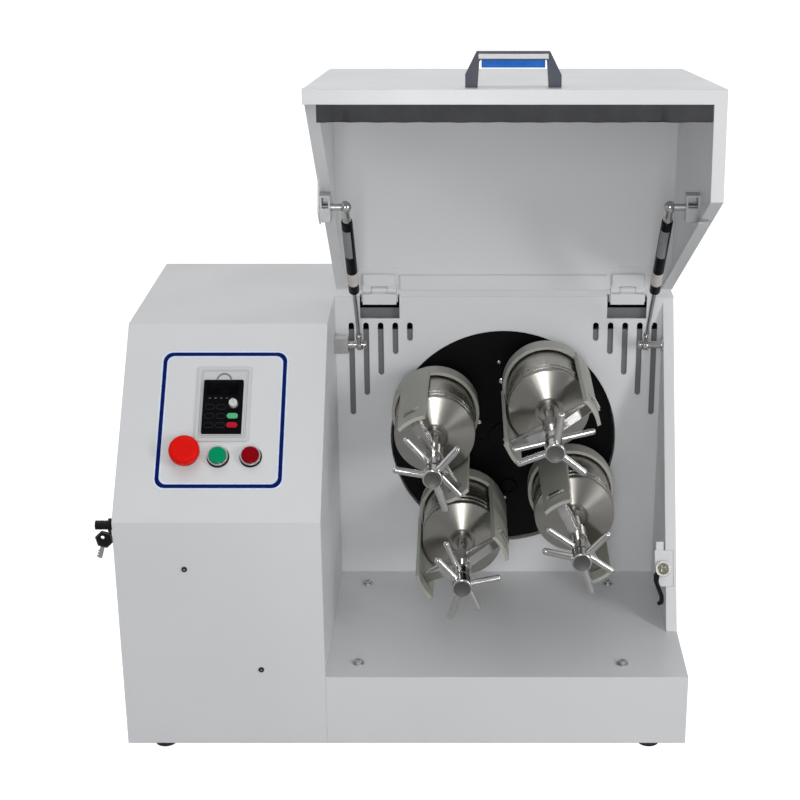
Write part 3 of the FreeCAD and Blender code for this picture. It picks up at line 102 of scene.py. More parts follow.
class Mat:
    """A principled material with short calls for its procedural nodes."""

    def __init__(self, name, color=(0.8, 0.8, 0.8), rough=0.5, metal=0.0, **sockets):
        self.mat = bpy.data.materials.new(name)
        self.mat.use_nodes = True
        self.tree = self.mat.node_tree
        self.tree.nodes.clear()
        self.out = self.add("ShaderNodeOutputMaterial")
        self.bsdf = self.add("ShaderNodeBsdfPrincipled")
        self.link(self.bsdf.outputs[0], self.out.inputs[0])
        self.set("Base Color", (*color, 1.0))
        self.set("Roughness", rough)
        self.set("Metallic", metal)
        for key, value in sockets.items():
            self.set(key.replace("_", " "), value)
        self.coords = None

    def add(self, kind, **props):
        node = self.tree.nodes.new(kind)
        for key, value in props.items():
            setattr(node, key, value)
        return node

    def set(self, socket, value):
        self.bsdf.inputs[socket].default_value = value

    def link(self, a, b):
        self.tree.links.new(a, b)

    def to(self, output, socket):
        self.link(output, self.bsdf.inputs[socket])

    def place(self, scale=(1, 1, 1), rotate=(0, 0, 0), shift=(0, 0, 0)):
        """Object coordinates through one mapping."""
        if self.coords is None:
            self.coords = self.add("ShaderNodeTexCoord").outputs["Object"]
        mapping = self.add("ShaderNodeMapping")
        mapping.inputs["Scale"].default_value = scale
        mapping.inputs["Rotation"].default_value = rotate
        mapping.inputs["Location"].default_value = shift
        self.link(self.coords, mapping.inputs["Vector"])
        return mapping.outputs[0]

    def noise(self, scale, detail=3.0, rough=0.5, where=None, distort=0.0):
        node = self.add("ShaderNodeTexNoise")
        node.inputs["Scale"].default_value = scale
        node.inputs["Detail"].default_value = detail
        node.inputs["Roughness"].default_value = rough
        node.inputs["Distortion"].default_value = distort
        self.link(where or self.place(), node.inputs["Vector"])
        return node.outputs["Fac"]

    def voronoi(self, scale, where=None, feature="F1"):
        node = self.add("ShaderNodeTexVoronoi", feature=feature)
        node.inputs["Scale"].default_value = scale
        self.link(where or self.place(), node.inputs["Vector"])
        return node.outputs["Distance"]

    def wave(self, scale, where=None, distort=0.0, rings=None, axis="X"):
        node = self.add("ShaderNodeTexWave", wave_type="RINGS" if rings else "BANDS")
        if rings:
            node.rings_direction = rings
        else:
            node.bands_direction = axis
        node.inputs["Scale"].default_value = scale
        node.inputs["Distortion"].default_value = distort
        self.link(where or self.place(), node.inputs["Vector"])
        return node.outputs["Fac"]

    def ramp(self, fac, stops):
        """Colour ramp from (position, value) pairs; a value is a grey or an (r, g, b)."""
        node = self.add("ShaderNodeValToRGB")
        ramp = node.color_ramp
        while len(ramp.elements) < len(stops):
            ramp.elements.new(0.5)
        for element, (position, value) in zip(ramp.elements, stops):
            element.position = position
            rgb = (value,) * 3 if isinstance(value, (int, float)) else value
            element.color = (*rgb, 1.0)
        self.link(fac, node.inputs[0])
        return node.outputs[0]

    def span(self, fac, low, high, to_low=0.0, to_high=1.0):
        node = self.add("ShaderNodeMapRange", clamp=True)
        for socket, value in zip(("From Min", "From Max", "To Min", "To Max"),
                                 (low, high, to_low, to_high)):
            node.inputs[socket].default_value = value
        self.link(fac, node.inputs[0])
        return node.outputs[0]

    def math(self, kind, a, b=0.0):
        node = self.add("ShaderNodeMath", operation=kind)
        for socket, value in zip(node.inputs, (a, b)):
            if isinstance(value, (int, float)):
                socket.default_value = value
            else:
                self.link(value, socket)
        return node.outputs[0]

    def mix(self, fac, a, b, blend="MIX"):
        node = self.add("ShaderNodeMix", data_type="RGBA", blend_type=blend)
        for socket, value in ((node.inputs[0], fac), (node.inputs[6], a), (node.inputs[7], b)):
            if isinstance(value, (int, float)):
                socket.default_value = value
            elif isinstance(value, tuple):
                socket.default_value = (*value, 1.0)
            else:
                self.link(value, socket)
        return node.outputs[2]

    def axes(self, where=None):
        node = self.add("ShaderNodeSeparateXYZ")
        self.link(where or self.place(), node.inputs[0])
        return node.outputs

    def bump(self, height, distance, strength=1.0, base=None):
        node = self.add("ShaderNodeBump")
        node.inputs["Strength"].default_value = strength
        node.inputs["Distance"].default_value = distance
        self.link(height, node.inputs["Height"])
        if base is not None:
            self.link(base, node.inputs["Normal"])
        return node.outputs[0]

    def round_edges(self, radius, samples=4):
        node = self.add("ShaderNodeBevel", samples=samples)
        node.inputs["Radius"].default_value = radius
        return node.outputs[0]

    def edge_wear(self, radius=0.0012, low=0.02, high=0.25):
        """White where an edge would be rubbed: rounded normal against the true one."""
        worn = self.round_edges(radius)
        geometry = self.add("ShaderNodeNewGeometry")
        dot = self.add("ShaderNodeVectorMath", operation="DOT_PRODUCT")
        self.link(worn, dot.inputs[0])
        self.link(geometry.outputs["Normal"], dot.inputs[1])
        return self.span(self.math("SUBTRACT", 1.0, dot.outputs["Value"]), low, high)


def paint(name, color, rough=0.36, peel=0.00012, edge=0.0016, dirt=0.05):
    """Baked powder coat: orange peel, slow shade drift, faint handling marks, soft edges."""
    m = Mat(name, color, rough, Coat_Weight=0.15, Coat_Roughness=0.22)
    drift = m.noise(3.1, 4.0, 0.55)
    marks = m.noise(17.0, 6.0, 0.65, m.place(scale=(1, 1, 2.2)))
    tint = tuple(c * (1.0 - dirt) for c in color)
    shade = m.mix(m.span(drift, 0.35, 0.7), color, tint)
    scuff = m.span(marks, 0.6, 0.85, 0.0, 0.35)
    m.to(m.mix(scuff, shade, tuple(c * 0.9 for c in color)), "Base Color")
    m.to(m.span(m.noise(9.0, 5.0, 0.6), 0.3, 0.75, rough - 0.06, rough + 0.09), "Roughness")
    peel_map = m.noise(420.0, 2.0, 0.5)
    m.to(m.bump(peel_map, peel, 0.55, m.round_edges(edge)), "Normal")
    return m.mat


def turned_metal(name, color, rough, groove, aniso=0.6, axis="Y", width=0.111):
    """Lathe-turned steel: rings about the node's own axis, and highlights drawn out across them."""
    m = Mat(name, color, rough, 1.0, Anisotropic=aniso, Anisotropic_Rotation=0.25)
    tangent = m.add("ShaderNodeTangent", direction_type="RADIAL", axis=axis)
    m.to(tangent.outputs[0], "Tangent")
    own = m.add("ShaderNodeMapping")
    own.inputs["Location"].default_value = (-0.5 * width, 0.0, -0.5 * width)
    own.inputs["Scale"].default_value = (width, 0.03, width)
    m.link(m.add("ShaderNodeTexCoord").outputs["Generated"], own.inputs["Vector"])
    x, y, z = m.axes(own.outputs[0])
    radius = m.math("SQRT", m.math("ADD", m.math("MULTIPLY", x, x), m.math("MULTIPLY", z, z)))
    where = m.add("ShaderNodeCombineXYZ")
    m.link(radius, where.inputs[0])
    m.link(y, where.inputs[1])
    rings = m.noise(groove, 5.0, 0.7, where.outputs[0])
    smear = m.noise(26.0, 4.0, 0.6)
    spots = m.noise(60.0, 3.0, 0.6)
    shade = m.mix(m.span(rings, 0.3, 0.7), tuple(c * 0.93 for c in color), color)
    shade = m.mix(m.span(smear, 0.45, 0.8, 0.0, 0.3), shade, tuple(c * 0.72 for c in color))
    m.to(shade, "Base Color")
    wavy = m.math("ADD", m.span(rings, 0.2, 0.8, 0.0, 0.05), m.span(spots, 0.55, 0.8, 0.0, 0.06))
    m.to(m.math("ADD", wavy, rough - 0.06), "Roughness")
    m.to(m.bump(rings, 0.000012, 0.5, m.round_edges(0.0007)), "Normal")
    return m.mat


def chrome(name, color=(0.62, 0.61, 0.6), rough=0.12):
    """Polished steel with hairlines, fingermarks and slightly rounded edges."""
    m = Mat(name, color, rough, 1.0)
    lines = m.noise(90.0, 6.0, 0.7, m.place(scale=(9, 1, 9)))
    smear = m.noise(34.0, 4.0, 0.6)
    pits = m.noise(700.0, 2.0, 0.5)
    m.to(m.mix(m.span(smear, 0.4, 0.75), color, tuple(c * 0.82 for c in color)), "Base Color")
    rub = m.math("ADD", m.span(smear, 0.35, 0.75, 0.0, 0.12), m.span(lines, 0.45, 0.7, 0.0, 0.06))
    m.to(m.math("ADD", rub, rough - 0.04), "Roughness")
    m.to(m.bump(pits, 0.00001, 0.35, m.round_edges(0.0008)), "Normal")
    return m.mat


def plastic(name, color, rough=0.4, grain=900.0, depth=0.00003, edge=0.0006, shine=0.4):
    """Moulded plastic with fine spark-eroded grain, a little dust and rubbed edges."""
    m = Mat(name, color, rough, Specular_IOR_Level=shine)
    dust = m.noise(60.0, 5.0, 0.6)
    worn = m.edge_wear(edge * 1.6)
    lighter = tuple(min(1.0, c * 1.12 + 0.012) for c in color)
    shade = m.mix(m.span(dust, 0.5, 0.85, 0.0, 0.45), color, lighter)
    m.to(m.mix(m.math("MULTIPLY", worn, 0.3), shade, lighter), "Base Color")
    m.to(m.span(dust, 0.3, 0.8, rough - 0.05, rough + 0.12), "Roughness")
    m.to(m.bump(m.noise(grain, 2.0, 0.5), depth, 0.5, m.round_edges(edge)), "Normal")
    return m.mat


def dark_enamel(name, color=(0.006, 0.0065, 0.0075), rough=0.33, shine=0.25):
    """Black stoved finish with dust, fine swirls and light scratches."""
    m = Mat(name, color, rough, Specular_IOR_Level=shine)
    dust = m.noise(240.0, 6.0, 0.75)
    patch = m.noise(8.0, 4.0, 0.6)
    swirl = m.wave(60.0, m.place(), 9.0, rings="Y")
    grey = tuple(c * 2.6 + 0.004 for c in color)
    haze = m.math("MULTIPLY", m.span(dust, 0.55, 0.8), m.span(patch, 0.3, 0.75))
    m.to(m.mix(m.math("MULTIPLY", haze, 0.7), color, grey), "Base Color")
    m.to(m.span(patch, 0.3, 0.75, rough - 0.05, rough + 0.15), "Roughness")
    m.to(m.bump(swirl, 0.00001, 0.3, m.round_edges(0.0008)), "Normal")
    return m.mat


def rubber(name, color=(0.02, 0.02, 0.021)):
    m = Mat(name, color, 0.72)
    bloom = m.noise(75.0, 5.0, 0.65)
    m.to(m.mix(m.span(bloom, 0.5, 0.8, 0.0, 0.6), color, tuple(c * 2.2 for c in color)), "Base Color")
    m.to(m.span(bloom, 0.3, 0.8, 0.62, 0.85), "Roughness")
    m.to(m.bump(m.noise(500.0, 3.0, 0.6), 0.00006, 0.7, m.round_edges(0.0008)), "Normal")
    return m.mat


def threaded(name, color=(0.6, 0.59, 0.57), rough=0.2):
    """Rolled screw thread: bright flanks, oil in the roots."""
    m = Mat(name, color, rough, 1.0)
    oil = m.noise(220.0, 4.0, 0.6)
    m.to(m.mix(m.span(oil, 0.45, 0.7), color, tuple(c * 0.45 for c in color)), "Base Color")
    m.to(m.span(oil, 0.3, 0.7, rough, rough + 0.2), "Roughness")
    m.to(m.bump(m.noise(1200.0, 2.0, 0.5), 0.00001, 0.4), "Normal")
    return m.mat


def shade_foam(name, color=(0.05, 0.05, 0.052)):
    """Closed-cell texture on a near-black colour that is painted shade."""
    m = Mat(name, color, 0.9, Specular_IOR_Level=0.2)
    cells = m.voronoi(900.0)
    cloud = m.noise(30.0, 4.0, 0.6)
    m.to(m.mix(m.span(cloud, 0.3, 0.7), color, tuple(c * 1.35 for c in color)), "Base Color")
    m.to(m.span(cells, 0.0, 0.5, 0.8, 0.98), "Roughness")
    m.to(m.bump(cells, 0.0002, 0.6), "Normal")
    return m.mat


def printed(name, color, rough=0.35):
    """Screen-printed ink on a film, with slight density changes."""
    m = Mat(name, color, rough, Specular_IOR_Level=0.06)
    ink = m.noise(140.0, 4.0, 0.6)
    m.to(m.mix(m.span(ink, 0.35, 0.7), color, tuple(c * 0.88 for c in color)), "Base Color")
    m.to(m.span(ink, 0.3, 0.7, rough - 0.04, rough + 0.08), "Roughness")
    m.to(m.bump(m.noise(700.0, 2.0, 0.5), 0.00001, 0.4), "Normal")
    return m.mat


PAINT_RGB = (0.75, 0.758, 0.765)
M = {
    "paint": paint("body_paint", PAINT_RGB),
    "holder": paint("holder_paint", (0.43, 0.425, 0.375), 0.42, 0.0002, 0.0012, 0.12),
    "turned": turned_metal("turned_steel", (0.4, 0.388, 0.355), 0.33, 2600.0, 0.75),
    "jar": turned_metal("jar_steel", (0.45, 0.435, 0.4), 0.3, 900.0, 0.6),
    "chrome": chrome("polished_steel"),
    "steel": chrome("dark_steel", (0.3, 0.3, 0.305), 0.3),
    "zinc": chrome("zinc_plate", (0.6, 0.61, 0.62), 0.38),
    "hub": chrome("hub_face", (0.17, 0.17, 0.165), 0.42),
    "thread": threaded("screw_thread"),
    "disc": dark_enamel("disc_black", (0.0028, 0.0028, 0.0033), 0.4, 0.1),
    "black_paint": dark_enamel("black_paint", (0.0035, 0.0035, 0.0042), 0.3, 0.12),
    "black_plastic": plastic("black_plastic", (0.008, 0.008, 0.0095), 0.34, shine=0.25),
    "grey_plastic": plastic("grey_plastic", (0.072, 0.077, 0.105), 0.45, shine=0.3),
    "keypad_grey": plastic("keypad_grey", (0.63, 0.64, 0.645), 0.42),
    "face": plastic("face_black", (0.0015, 0.0015, 0.0022), 0.35, shine=0.05),
    "window": plastic("window_black", (0.0008, 0.0008, 0.0014), 0.3, 1500.0, 0.000005, 0.0004, 0.03),
    "bow_highlight_grey": printed("bow_highlight_grey", (0.16, 0.165, 0.17)),
    "blue": printed("panel_blue", (0.001, 0.011, 0.13)),
    "pale_blue": printed("panel_outline", (0.78, 0.87, 1.0)),
    "line_grey": printed("line_grey", (0.42, 0.43, 0.44)),
    "notch_shade_and_mark_grey": printed("notch_shade_and_mark_grey", (0.26, 0.265, 0.27)),
    "key_line": printed("key_line", (0.03, 0.031, 0.036)),
    "run_green": plastic("run_green", (0.11, 0.5, 0.24), 0.35, shine=0.15),
    "halt_red": plastic("halt_red", (0.5, 0.006, 0.025), 0.35, shine=0.15),
    "bright_blue": printed("handle_blue", (0.02, 0.15, 0.57)),
    "label": printed("strut_label", (0.27, 0.275, 0.28), 0.3),
    "band": printed("strut_band", (0.66, 0.6, 0.585), 0.45),
    "liner": paint("liner_grey", (0.16, 0.164, 0.18), 0.5, 0.0001, 0.0004, 0.1),
    # Near-black cellular material: painted shade for the strip behind the lid's sill
    "shade_foam": shade_foam("shade_strip_foam"),
    "sealant": paint("sealant", (0.76, 0.77, 0.78), 0.55, 0.0003, 0.0004, 0.04),
    "rubber": rubber("rubber"),
    "red": plastic("red_plastic", (0.82, 0.008, 0.005), 0.35, shine=0.07),
    "dark_red": plastic("dark_red_plastic", (0.27, 0.001, 0.006), 0.35, shine=0.04),
    "green": plastic("green_plastic", (0.0, 0.3, 0.128), 0.3, shine=0.06),
    "white": plastic("white_plastic", (0.66, 0.66, 0.65), 0.35),
    "brass": chrome("brass", (0.7, 0.5, 0.2), 0.3),
    "motor": paint("motor_grey", (0.16, 0.17, 0.185), 0.45, 0.0002, 0.001, 0.12),
}

FINISH = {
    "paint": ["base_plinth", "cabinet_shell", "chamber_shell", "rear_panel", "drive_frame",
              "hinge_brackets", "lid_shell", "lock_case"],
    "chrome": ["body_hardware", "button_collars", "strut_rod_left", "strut_rod_right"]
              + ["crossbar_" + u for u in UNITS] + ["press_screw_" + u for u in UNITS]
              + ["lock_nut_" + u for u in UNITS],
    "holder": ["jar_holder_" + u for u in UNITS],
    "turned": ["jar_lid_" + u for u in UNITS],
    "jar": ["jar_" + u for u in UNITS],
    "steel": ["gear_housing", "drive_shaft", "motor_pulley"],
    "zinc": ["lid_strut_mounts"],
    "disc": ["carrier_disc"],
    "black_paint": ["lock_hook", "strut_cylinder_left", "strut_cylinder_right"],
    "black_plastic": ["power_inlet", "keypad_unit", "key_switch", "hanging_key"],
    "grey_plastic": ["inverter", "lid_handle"],
    "rubber": ["feet", "drive_belt"],
    "red": ["estop_head"],
    "halt_red": ["halt_key"],
    "dark_red": ["stop_button"],
    "green": ["start_button"],
    "run_green": ["run_key"],
    "white": ["keypad_knob"],
    "brass": ["lock_barrel"],
    "motor": ["motor"],
}
for finish, names in FINISH.items():
    for node_name in names:
        for material_slot in NODES[node_name].material_slots:
            material_slot.material = M[finish]


# Local frames in millimetres, each carried to the world in metres

def basis(origin, x, y, z):
    columns = [Vector(x), Vector(y), Vector(z), Vector(origin)]
    out = Matrix.Identity(4)
    for i, column in enumerate(columns):
        for j in range(3):
            out[j][i] = column[j] * MM
    return out


def tilted(angle, origin):
    """x along X, second axis up a slope, third axis out of it."""
    c, s = math.cos(angle), math.sin(angle)
    return basis(origin, (1, 0, 0), (0, c, s), (0, -s, c))


BODY = basis((0, 0, 0), (1, 0, 0), (0, 1, 0), (0, 0, 1))
SLOPE = tilted(SLOPE_ANGLE, (LEFT, FRONT, BASE + BEND_H))
SIDE = tilted(SIDE_ANGLE, (0, SIDE_FOOT_Y, FLOOR))


def open_lid():
    """Closed lid coordinates to the photographed open rest."""
    c, s = math.cos(OPEN_ANGLE), math.sin(OPEN_ANGLE)
    y0 = HINGE_Y - HINGE_Y * c - HINGE_Z * s
    z0 = HINGE_Z + HINGE_Y * s - HINGE_Z * c
    return basis((0, y0, z0), (1, 0, 0), (0, c, -s), (0, s, c))


LID = open_lid()


def facing(x, y, z):
    """x right, second axis up, third axis towards the front."""
    return basis((x, y, z), (1, 0, 0), (0, 0, 1), (0, -1, 0))


def unit_frame(k, y):
    a = math.radians(JAR_FIRST_ANGLE + 90.0 * k)
    return facing(DISC_X + JAR_CIRCLE * math.cos(a), y, DISC_Z + JAR_CIRCLE * math.sin(a))


# Mesh makers

def finish_piece(name, bm, place, body, materials, soft=0.0, sharp=35.0):
    """Carry a local mesh into the world, give it its finish and let it ride."""
    bm.transform(place)
    bmesh.ops.recalc_face_normals(bm, faces=bm.faces)
    mesh = bpy.data.meshes.new(name)
    bm.to_mesh(mesh)
    bm.free()
    for key in materials:
        mesh.materials.append(M[key])
    mesh.polygons.foreach_set("use_smooth", [True] * len(mesh.polygons))
    mesh.set_sharp_from_angle(angle=math.radians(sharp))
    made = bpy.data.objects.new(name, mesh)
    scene.collection.objects.link(made)
    if soft:
        bevel = made.modifiers.new("soft_edges", "BEVEL")
        bevel.width = soft * MM
        bevel.segments = 3
        bevel.limit_method = "ANGLE"
        bevel.angle_limit = math.radians(sharp)
        bevel.harden_normals = True
    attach(made, body)
    return made


def rounded(x0, y0, x1, y1, r, steps=6):
    """Outline of a rounded rectangle, counter-clockwise."""
    out = []
    for cx, cy, start in ((x1 - r, y1 - r, 0), (x0 + r, y1 - r, 90), (x0 + r, y0 + r, 180),
                          (x1 - r, y0 + r, 270)):
        for i in range(steps + 1):
            a = math.radians(start + 90.0 * i / steps)
            out.append((cx + r * math.cos(a), cy + r * math.sin(a)))
    return out


def circle(x, y, r, steps=32, start=0.0, sweep=360.0):
    full = abs(sweep - 360.0) < 0.01
    count = steps if full else steps + 1
    return [(x + r * math.cos(math.radians(start + sweep * i / steps)),
             y + r * math.sin(math.radians(start + sweep * i / steps))) for i in range(count)]


def add_slab(bm, outline, low, high, index=0):
    """A closed plate with the given outline between two heights."""
    bottom = [bm.verts.new((x, y, low)) for x, y in outline]
    top = [bm.verts.new((x, y, high)) for x, y in outline]
    faces = [bm.faces.new(top), bm.faces.new(bottom[::-1])]
    for i in range(len(outline)):
        j = (i + 1) % len(outline)
        faces.append(bm.faces.new((bottom[i], bottom[j], top[j], top[i])))
    for face in faces:
        face.material_index = index


def add_ring(bm, outer, inner, low, high, index=0):
    """A closed band between two outlines with the same number of points."""
    rows = [[bm.verts.new((x, y, h)) for x, y in line]
            for line, h in ((outer, low), (outer, high), (inner, high), (inner, low))]
    for a in range(4):
        b = (a + 1) % 4
        for i in range(len(outer)):
            j = (i + 1) % len(outer)
            face = bm.faces.new((rows[a][i], rows[a][j], rows[b][j], rows[b][i]))
            face.material_index = index


def add_lathe(bm, profile, steps=40, index=0, sweep=360.0, start=0.0):
    """Turn (radius, height) points about the third axis; a zero radius closes the end."""
    full = abs(sweep - 360.0) < 0.01
    count = steps if full else steps + 1
    rows = []
    for r, h in profile:
        if r < 1e-6:
            rows.append([bm.verts.new((0.0, 0.0, h))] * count)
            continue
        row = []
        for i in range(count):
            a = math.radians(start + sweep * i / steps)
            row.append(bm.verts.new((r * math.cos(a), r * math.sin(a), h)))
        rows.append(row)
    faces = []
    for low, high in zip(rows, rows[1:]):
        for i in range(steps):
            j = (i + 1) % count
            ring = []
            for vert in (low[i], low[j], high[j], high[i]):
                if vert not in ring:
                    ring.append(vert)
            if len(ring) > 2:
                face = bm.faces.new(ring)
                face.material_index = index
                faces.append(face)
    return rows


def closed(profile):
    """Close a (radius, height) section into a ring."""
    return profile + profile[:1]


def slab(name, outline, low, high, place, body, key, soft=0.0):
    bm = bmesh.new()
    add_slab(bm, outline, low, high)
    return finish_piece(name, bm, place, body, [key], soft)


def box_outline(x0, y0, x1, y1):
    return [(x0, y0), (x1, y0), (x1, y1), (x0, y1)]


def dome(r, rise, steps=5):
    """Profile of a low dome that stands on its seat."""
    out = [(r, 0.0)]
    for i in range(1, steps + 1):
        a = math.radians(90.0 * i / steps)
        out.append((r * math.cos(a) if i < steps else 0.0, rise * math.sin(a)))
    return out


def screw_head(bm, x, y, base, r, rise, index=0):
    """Low button head with a hexagonal socket."""
    start = len(bm.verts)
    socket = r * 0.42
    add_lathe(bm, [(r, base), (r, base + rise * 0.45), (r * 0.86, base + rise * 0.85),
                   (r * 0.6, base + rise), (socket, base + rise), (socket * 0.95, base + rise * 0.4),
                   (0.0, base + rise * 0.35)], 18, index)
    bm.verts.ensure_lookup_table()
    for vert in bm.verts[start:]:
        vert.co.x += x
        vert.co.y += y


# Sloped panel of the cabinet

def panel_border():
    """Blue line with a pale outline on both sides, printed round the controls."""
    x0, x1 = PANEL_X
    s0, s1 = PANEL_S
    corner, line, pale = 14.5, 5.2, 2.2
    insets = (0.0, pale, pale + line, pale * 2 + line)
    outlines = [rounded(x0 + i, s0 + i, x1 - i, s1 - i, corner - i * 0.6, 8) for i in insets]
    bm = bmesh.new()
    for n, (outer, inner) in enumerate(zip(outlines, outlines[1:])):
        add_ring(bm, outer, inner, -0.05, 0.22 + 0.05 * (n == 1), 1 if n == 1 else 0)
    finish_piece("panel_border", bm, SLOPE, "housing", ["pale_blue", "blue"])


def keypad():
    """Light frame with a grey crescent painted as the shade in a finger notch, and a black face with window,
    marks and keys.
    """
    bm = bmesh.new()
    add_slab(bm, rounded(KEYPAD_X[0], KEYPAD_S[0], KEYPAD_X[1], KEYPAD_S[1], 4.0), 0.0, KEYPAD_T)
    frame_piece = finish_piece("keypad_frame", bm, SLOPE, "housing", ["keypad_grey"], 1.0)
    bm = bmesh.new()
    add_slab(bm, rounded(FACE_X[0], FACE_S[0], FACE_X[1], FACE_S[1], 2.2), KEYPAD_T - 0.5, FACE_TOP)
    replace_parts(finish_piece("keypad_face", bm, SLOPE, "housing", ["face"], 0.9), "keypad_unit")

    bm = bmesh.new()
    edge, rim = 5.0, 0.7
    for inset, wide in ((edge, rim), (edge + 2.2, 0.4)):
        add_ring(bm,
                 rounded(KEYPAD_X[0] + inset, KEYPAD_S[0] + inset, KEYPAD_X[1] - inset,
                         KEYPAD_S[1] - inset, 2.0),
                 rounded(KEYPAD_X[0] + inset + wide, KEYPAD_S[0] + inset + wide,
                         KEYPAD_X[1] - inset - wide, KEYPAD_S[1] - inset - wide, 1.6),
                 KEYPAD_T - 0.2, KEYPAD_T + 0.15)
    finish_piece("keypad_lines", bm, SLOPE, "housing", ["line_grey"])

    mid = (FACE_X[0] + FACE_X[1]) / 2
    # Grey crescent above the face: painted shade of a finger notch
    bm = bmesh.new()
    lower = circle(mid, FACE_S[1] + 0.2, 8.2, 20, 8.0, 164.0)
    upper = circle(mid, FACE_S[1] + 0.7, 10.4, 20, 6.0, 168.0)
    add_slab(bm, upper + lower[::-1], KEYPAD_T - 0.2, KEYPAD_T + 0.25)
    finish_piece("keypad_notch_shade", bm, SLOPE, "housing", ["notch_shade_and_mark_grey"])

    bm = bmesh.new()
    rim = 1.5
    add_slab(bm, box_outline(FACE_X[1] + 0.2, FACE_S[0] - rim, FACE_X[1] + rim + 0.2, FACE_S[1] - 2.0),
             KEYPAD_T - 0.2, KEYPAD_T + 1.6)
    add_slab(bm, box_outline(FACE_X[0] + 1.0, FACE_S[0] - rim - 0.2, FACE_X[1] + 0.2, FACE_S[0] - 0.2),
             KEYPAD_T - 0.2, KEYPAD_T + 1.6)
    finish_piece("keypad_lip", bm, SLOPE, "housing", ["white"], 0.3)

    slab("keypad_window", rounded(FACE_X[0] + 4.5, FACE_S[1] - 22.0, FACE_X[1] - 6.0, FACE_S[1] - 5.0, 1.5),
         FACE_TOP - 0.3, FACE_TOP + 0.25, SLOPE, "housing", "window", 0.1)
    bm = bmesh.new()
    for i in range(5):
        x = FACE_X[0] + 8.0 + i * 7.4
        add_slab(bm, box_outline(x, FACE_S[1] - 27.2, x + 2.6, FACE_S[1] - 26.4), FACE_TOP - 0.1,
                 FACE_TOP + 0.12)
    finish_piece("keypad_marks", bm, SLOPE, "housing", ["notch_shade_and_mark_grey"])

    bm = bmesh.new()
    half_x, half_s = SMALL_KEY
    line = 0.6
    for x in SMALL_KEYS_X:
        for s in SMALL_KEYS_S:
            outer = rounded(x - half_x, s - half_s, x + half_x, s + half_s, half_s - 0.1, 5)
            inner = rounded(x - half_x + line, s - half_s + line, x + half_x - line, s + half_s - line,
                            half_s - line - 0.1, 5)
            add_ring(bm, outer, inner, FACE_TOP - 0.2, FACE_TOP + 0.5, 0)
            add_slab(bm, inner, FACE_TOP - 0.2, FACE_TOP + 0.35, 1)
    finish_piece("keypad_keys", bm, SLOPE, "housing", ["key_line", "face"])
    return frame_piece


def control_gaskets():
    """Black gasket under each collar and a dark seat ring round the white knob."""
    bm = bmesh.new()
    for (x, s), r, wide in ((ESTOP_AT, ESTOP_COLLAR_R, 1.6), (START_AT, COLLAR_R, 1.3),
                            (STOP_AT, COLLAR_R, 1.3)):
        add_ring(bm, circle(x, s, r + wide, 48), circle(x, s, r + 0.1, 48), -0.2, 1.7)
    finish_piece("control_gaskets", bm, SLOPE, "housing", ["rubber"], 0.5)
    x, s = KNOB_AT
    bm = bmesh.new()
    add_ring(bm, circle(x, s, KNOB_R + 1.9, 36), circle(x, s, KNOB_R + 0.8, 36), FACE_TOP - 0.3,
             FACE_TOP + 0.8)
    finish_piece("knob_seat", bm, SLOPE, "housing", ["key_line"], 0.2)


# Chamber

def vent_liners_and_shade():
    """Grey filter sheet behind the slots; it stops below their tops, where a black sheet further back is painted
    shade inside.
    """
    middle = CHAMBER_MID - 1.4
    first = (RIGHT - CABINET_RIGHT) / 2 - VENT_EDGE
    gap = 10.4
    bm = bmesh.new()
    for i, length in enumerate(VENT_LENGTHS):
        for side in (-1, 1):
            x = middle + side * (first - i * VENT_STEP)
            half = VENT_W / 2 + 2.6
            low = VENT_TOP - length - 3.0
            add_slab(bm, box_outline(x - half, low, x + half, VENT_TOP - gap), -1.2, -0.2)
            # Black sheet above each liner: painted shade inside the slot top
            add_slab(bm, box_outline(x - half, VENT_TOP - gap, x + half, VENT_TOP + 3.0), -7.2, -6.2, 1)
    finish_piece("vent_liners_and_shade", bm, facing(0, WALL_Y + SHEET, 0), "housing", ["liner", "window"])


def hinge_liners_and_shade():
    """Grey plate in each hinge cut-out, and above it a black strip that is painted shade in the gap under the
    hinge strap.
    """
    bm = bmesh.new()
    low, split, high = TOP - 34.0, TOP - 19.2, TOP - 3.0
    for x in HINGE_CENTRES:
        half = HINGE_CUT_HALF + 1.5
        add_slab(bm, box_outline(x - half, low, x + half, split), -1.0, 0.0)
        # Black strip: painted shade in the gap under the hinge strap
        add_slab(bm, box_outline(x - half, split, x + half, high), -1.0, -0.4, 1)
    finish_piece("hinge_liners_and_shade", bm, facing(0, WALL_Y + 9.8, 0), "housing", ["liner", "window"])


def floor_washers():
    bm = bmesh.new()
    for x, y in FLOOR_BOLTS:
        add_ring(bm, circle(x, y, 8.2, 36), circle(x, y, 5.2, 36), -0.1, 1.1)
    finish_piece("floor_washers", bm, basis((0, 0, FLOOR), (1, 0, 0), (0, 1, 0), (0, 0, 1)),
                 "housing", ["zinc"], 0.3)


def disc_hardware():
    """Bright countersunk screws and one black boss on the disc, in polar places."""
    bm = bmesh.new()
    for r, angle, size in ((86.0, 92.0, 4.2), (114.6, 93.2, 3.0), (40.5, 148.0, 3.4), (97.6, 271.5, 3.4),
                           (60.0, 5.0, 3.4), (128.0, 346.0, 3.4)):
        a = math.radians(angle)
        screw_head(bm, r * math.cos(a), r * math.sin(a), 0.0, size, 2.2)
    finish_piece("disc_screws", bm, facing(DISC_X, DISC_Y, DISC_Z), "carrier", ["chrome"])
    bm = bmesh.new()
    add_lathe(bm, [(13.0, 0.0), (13.0, 4.5), (12.0, 5.5), (8.0, 5.8), (7.2, 3.0), (0.0, 2.6)], 44)
    finish_piece("disc_boss", bm, facing(DISC_X + 8.3, DISC_Y, DISC_Z - 79.8), "carrier", ["disc"])


# Jar units

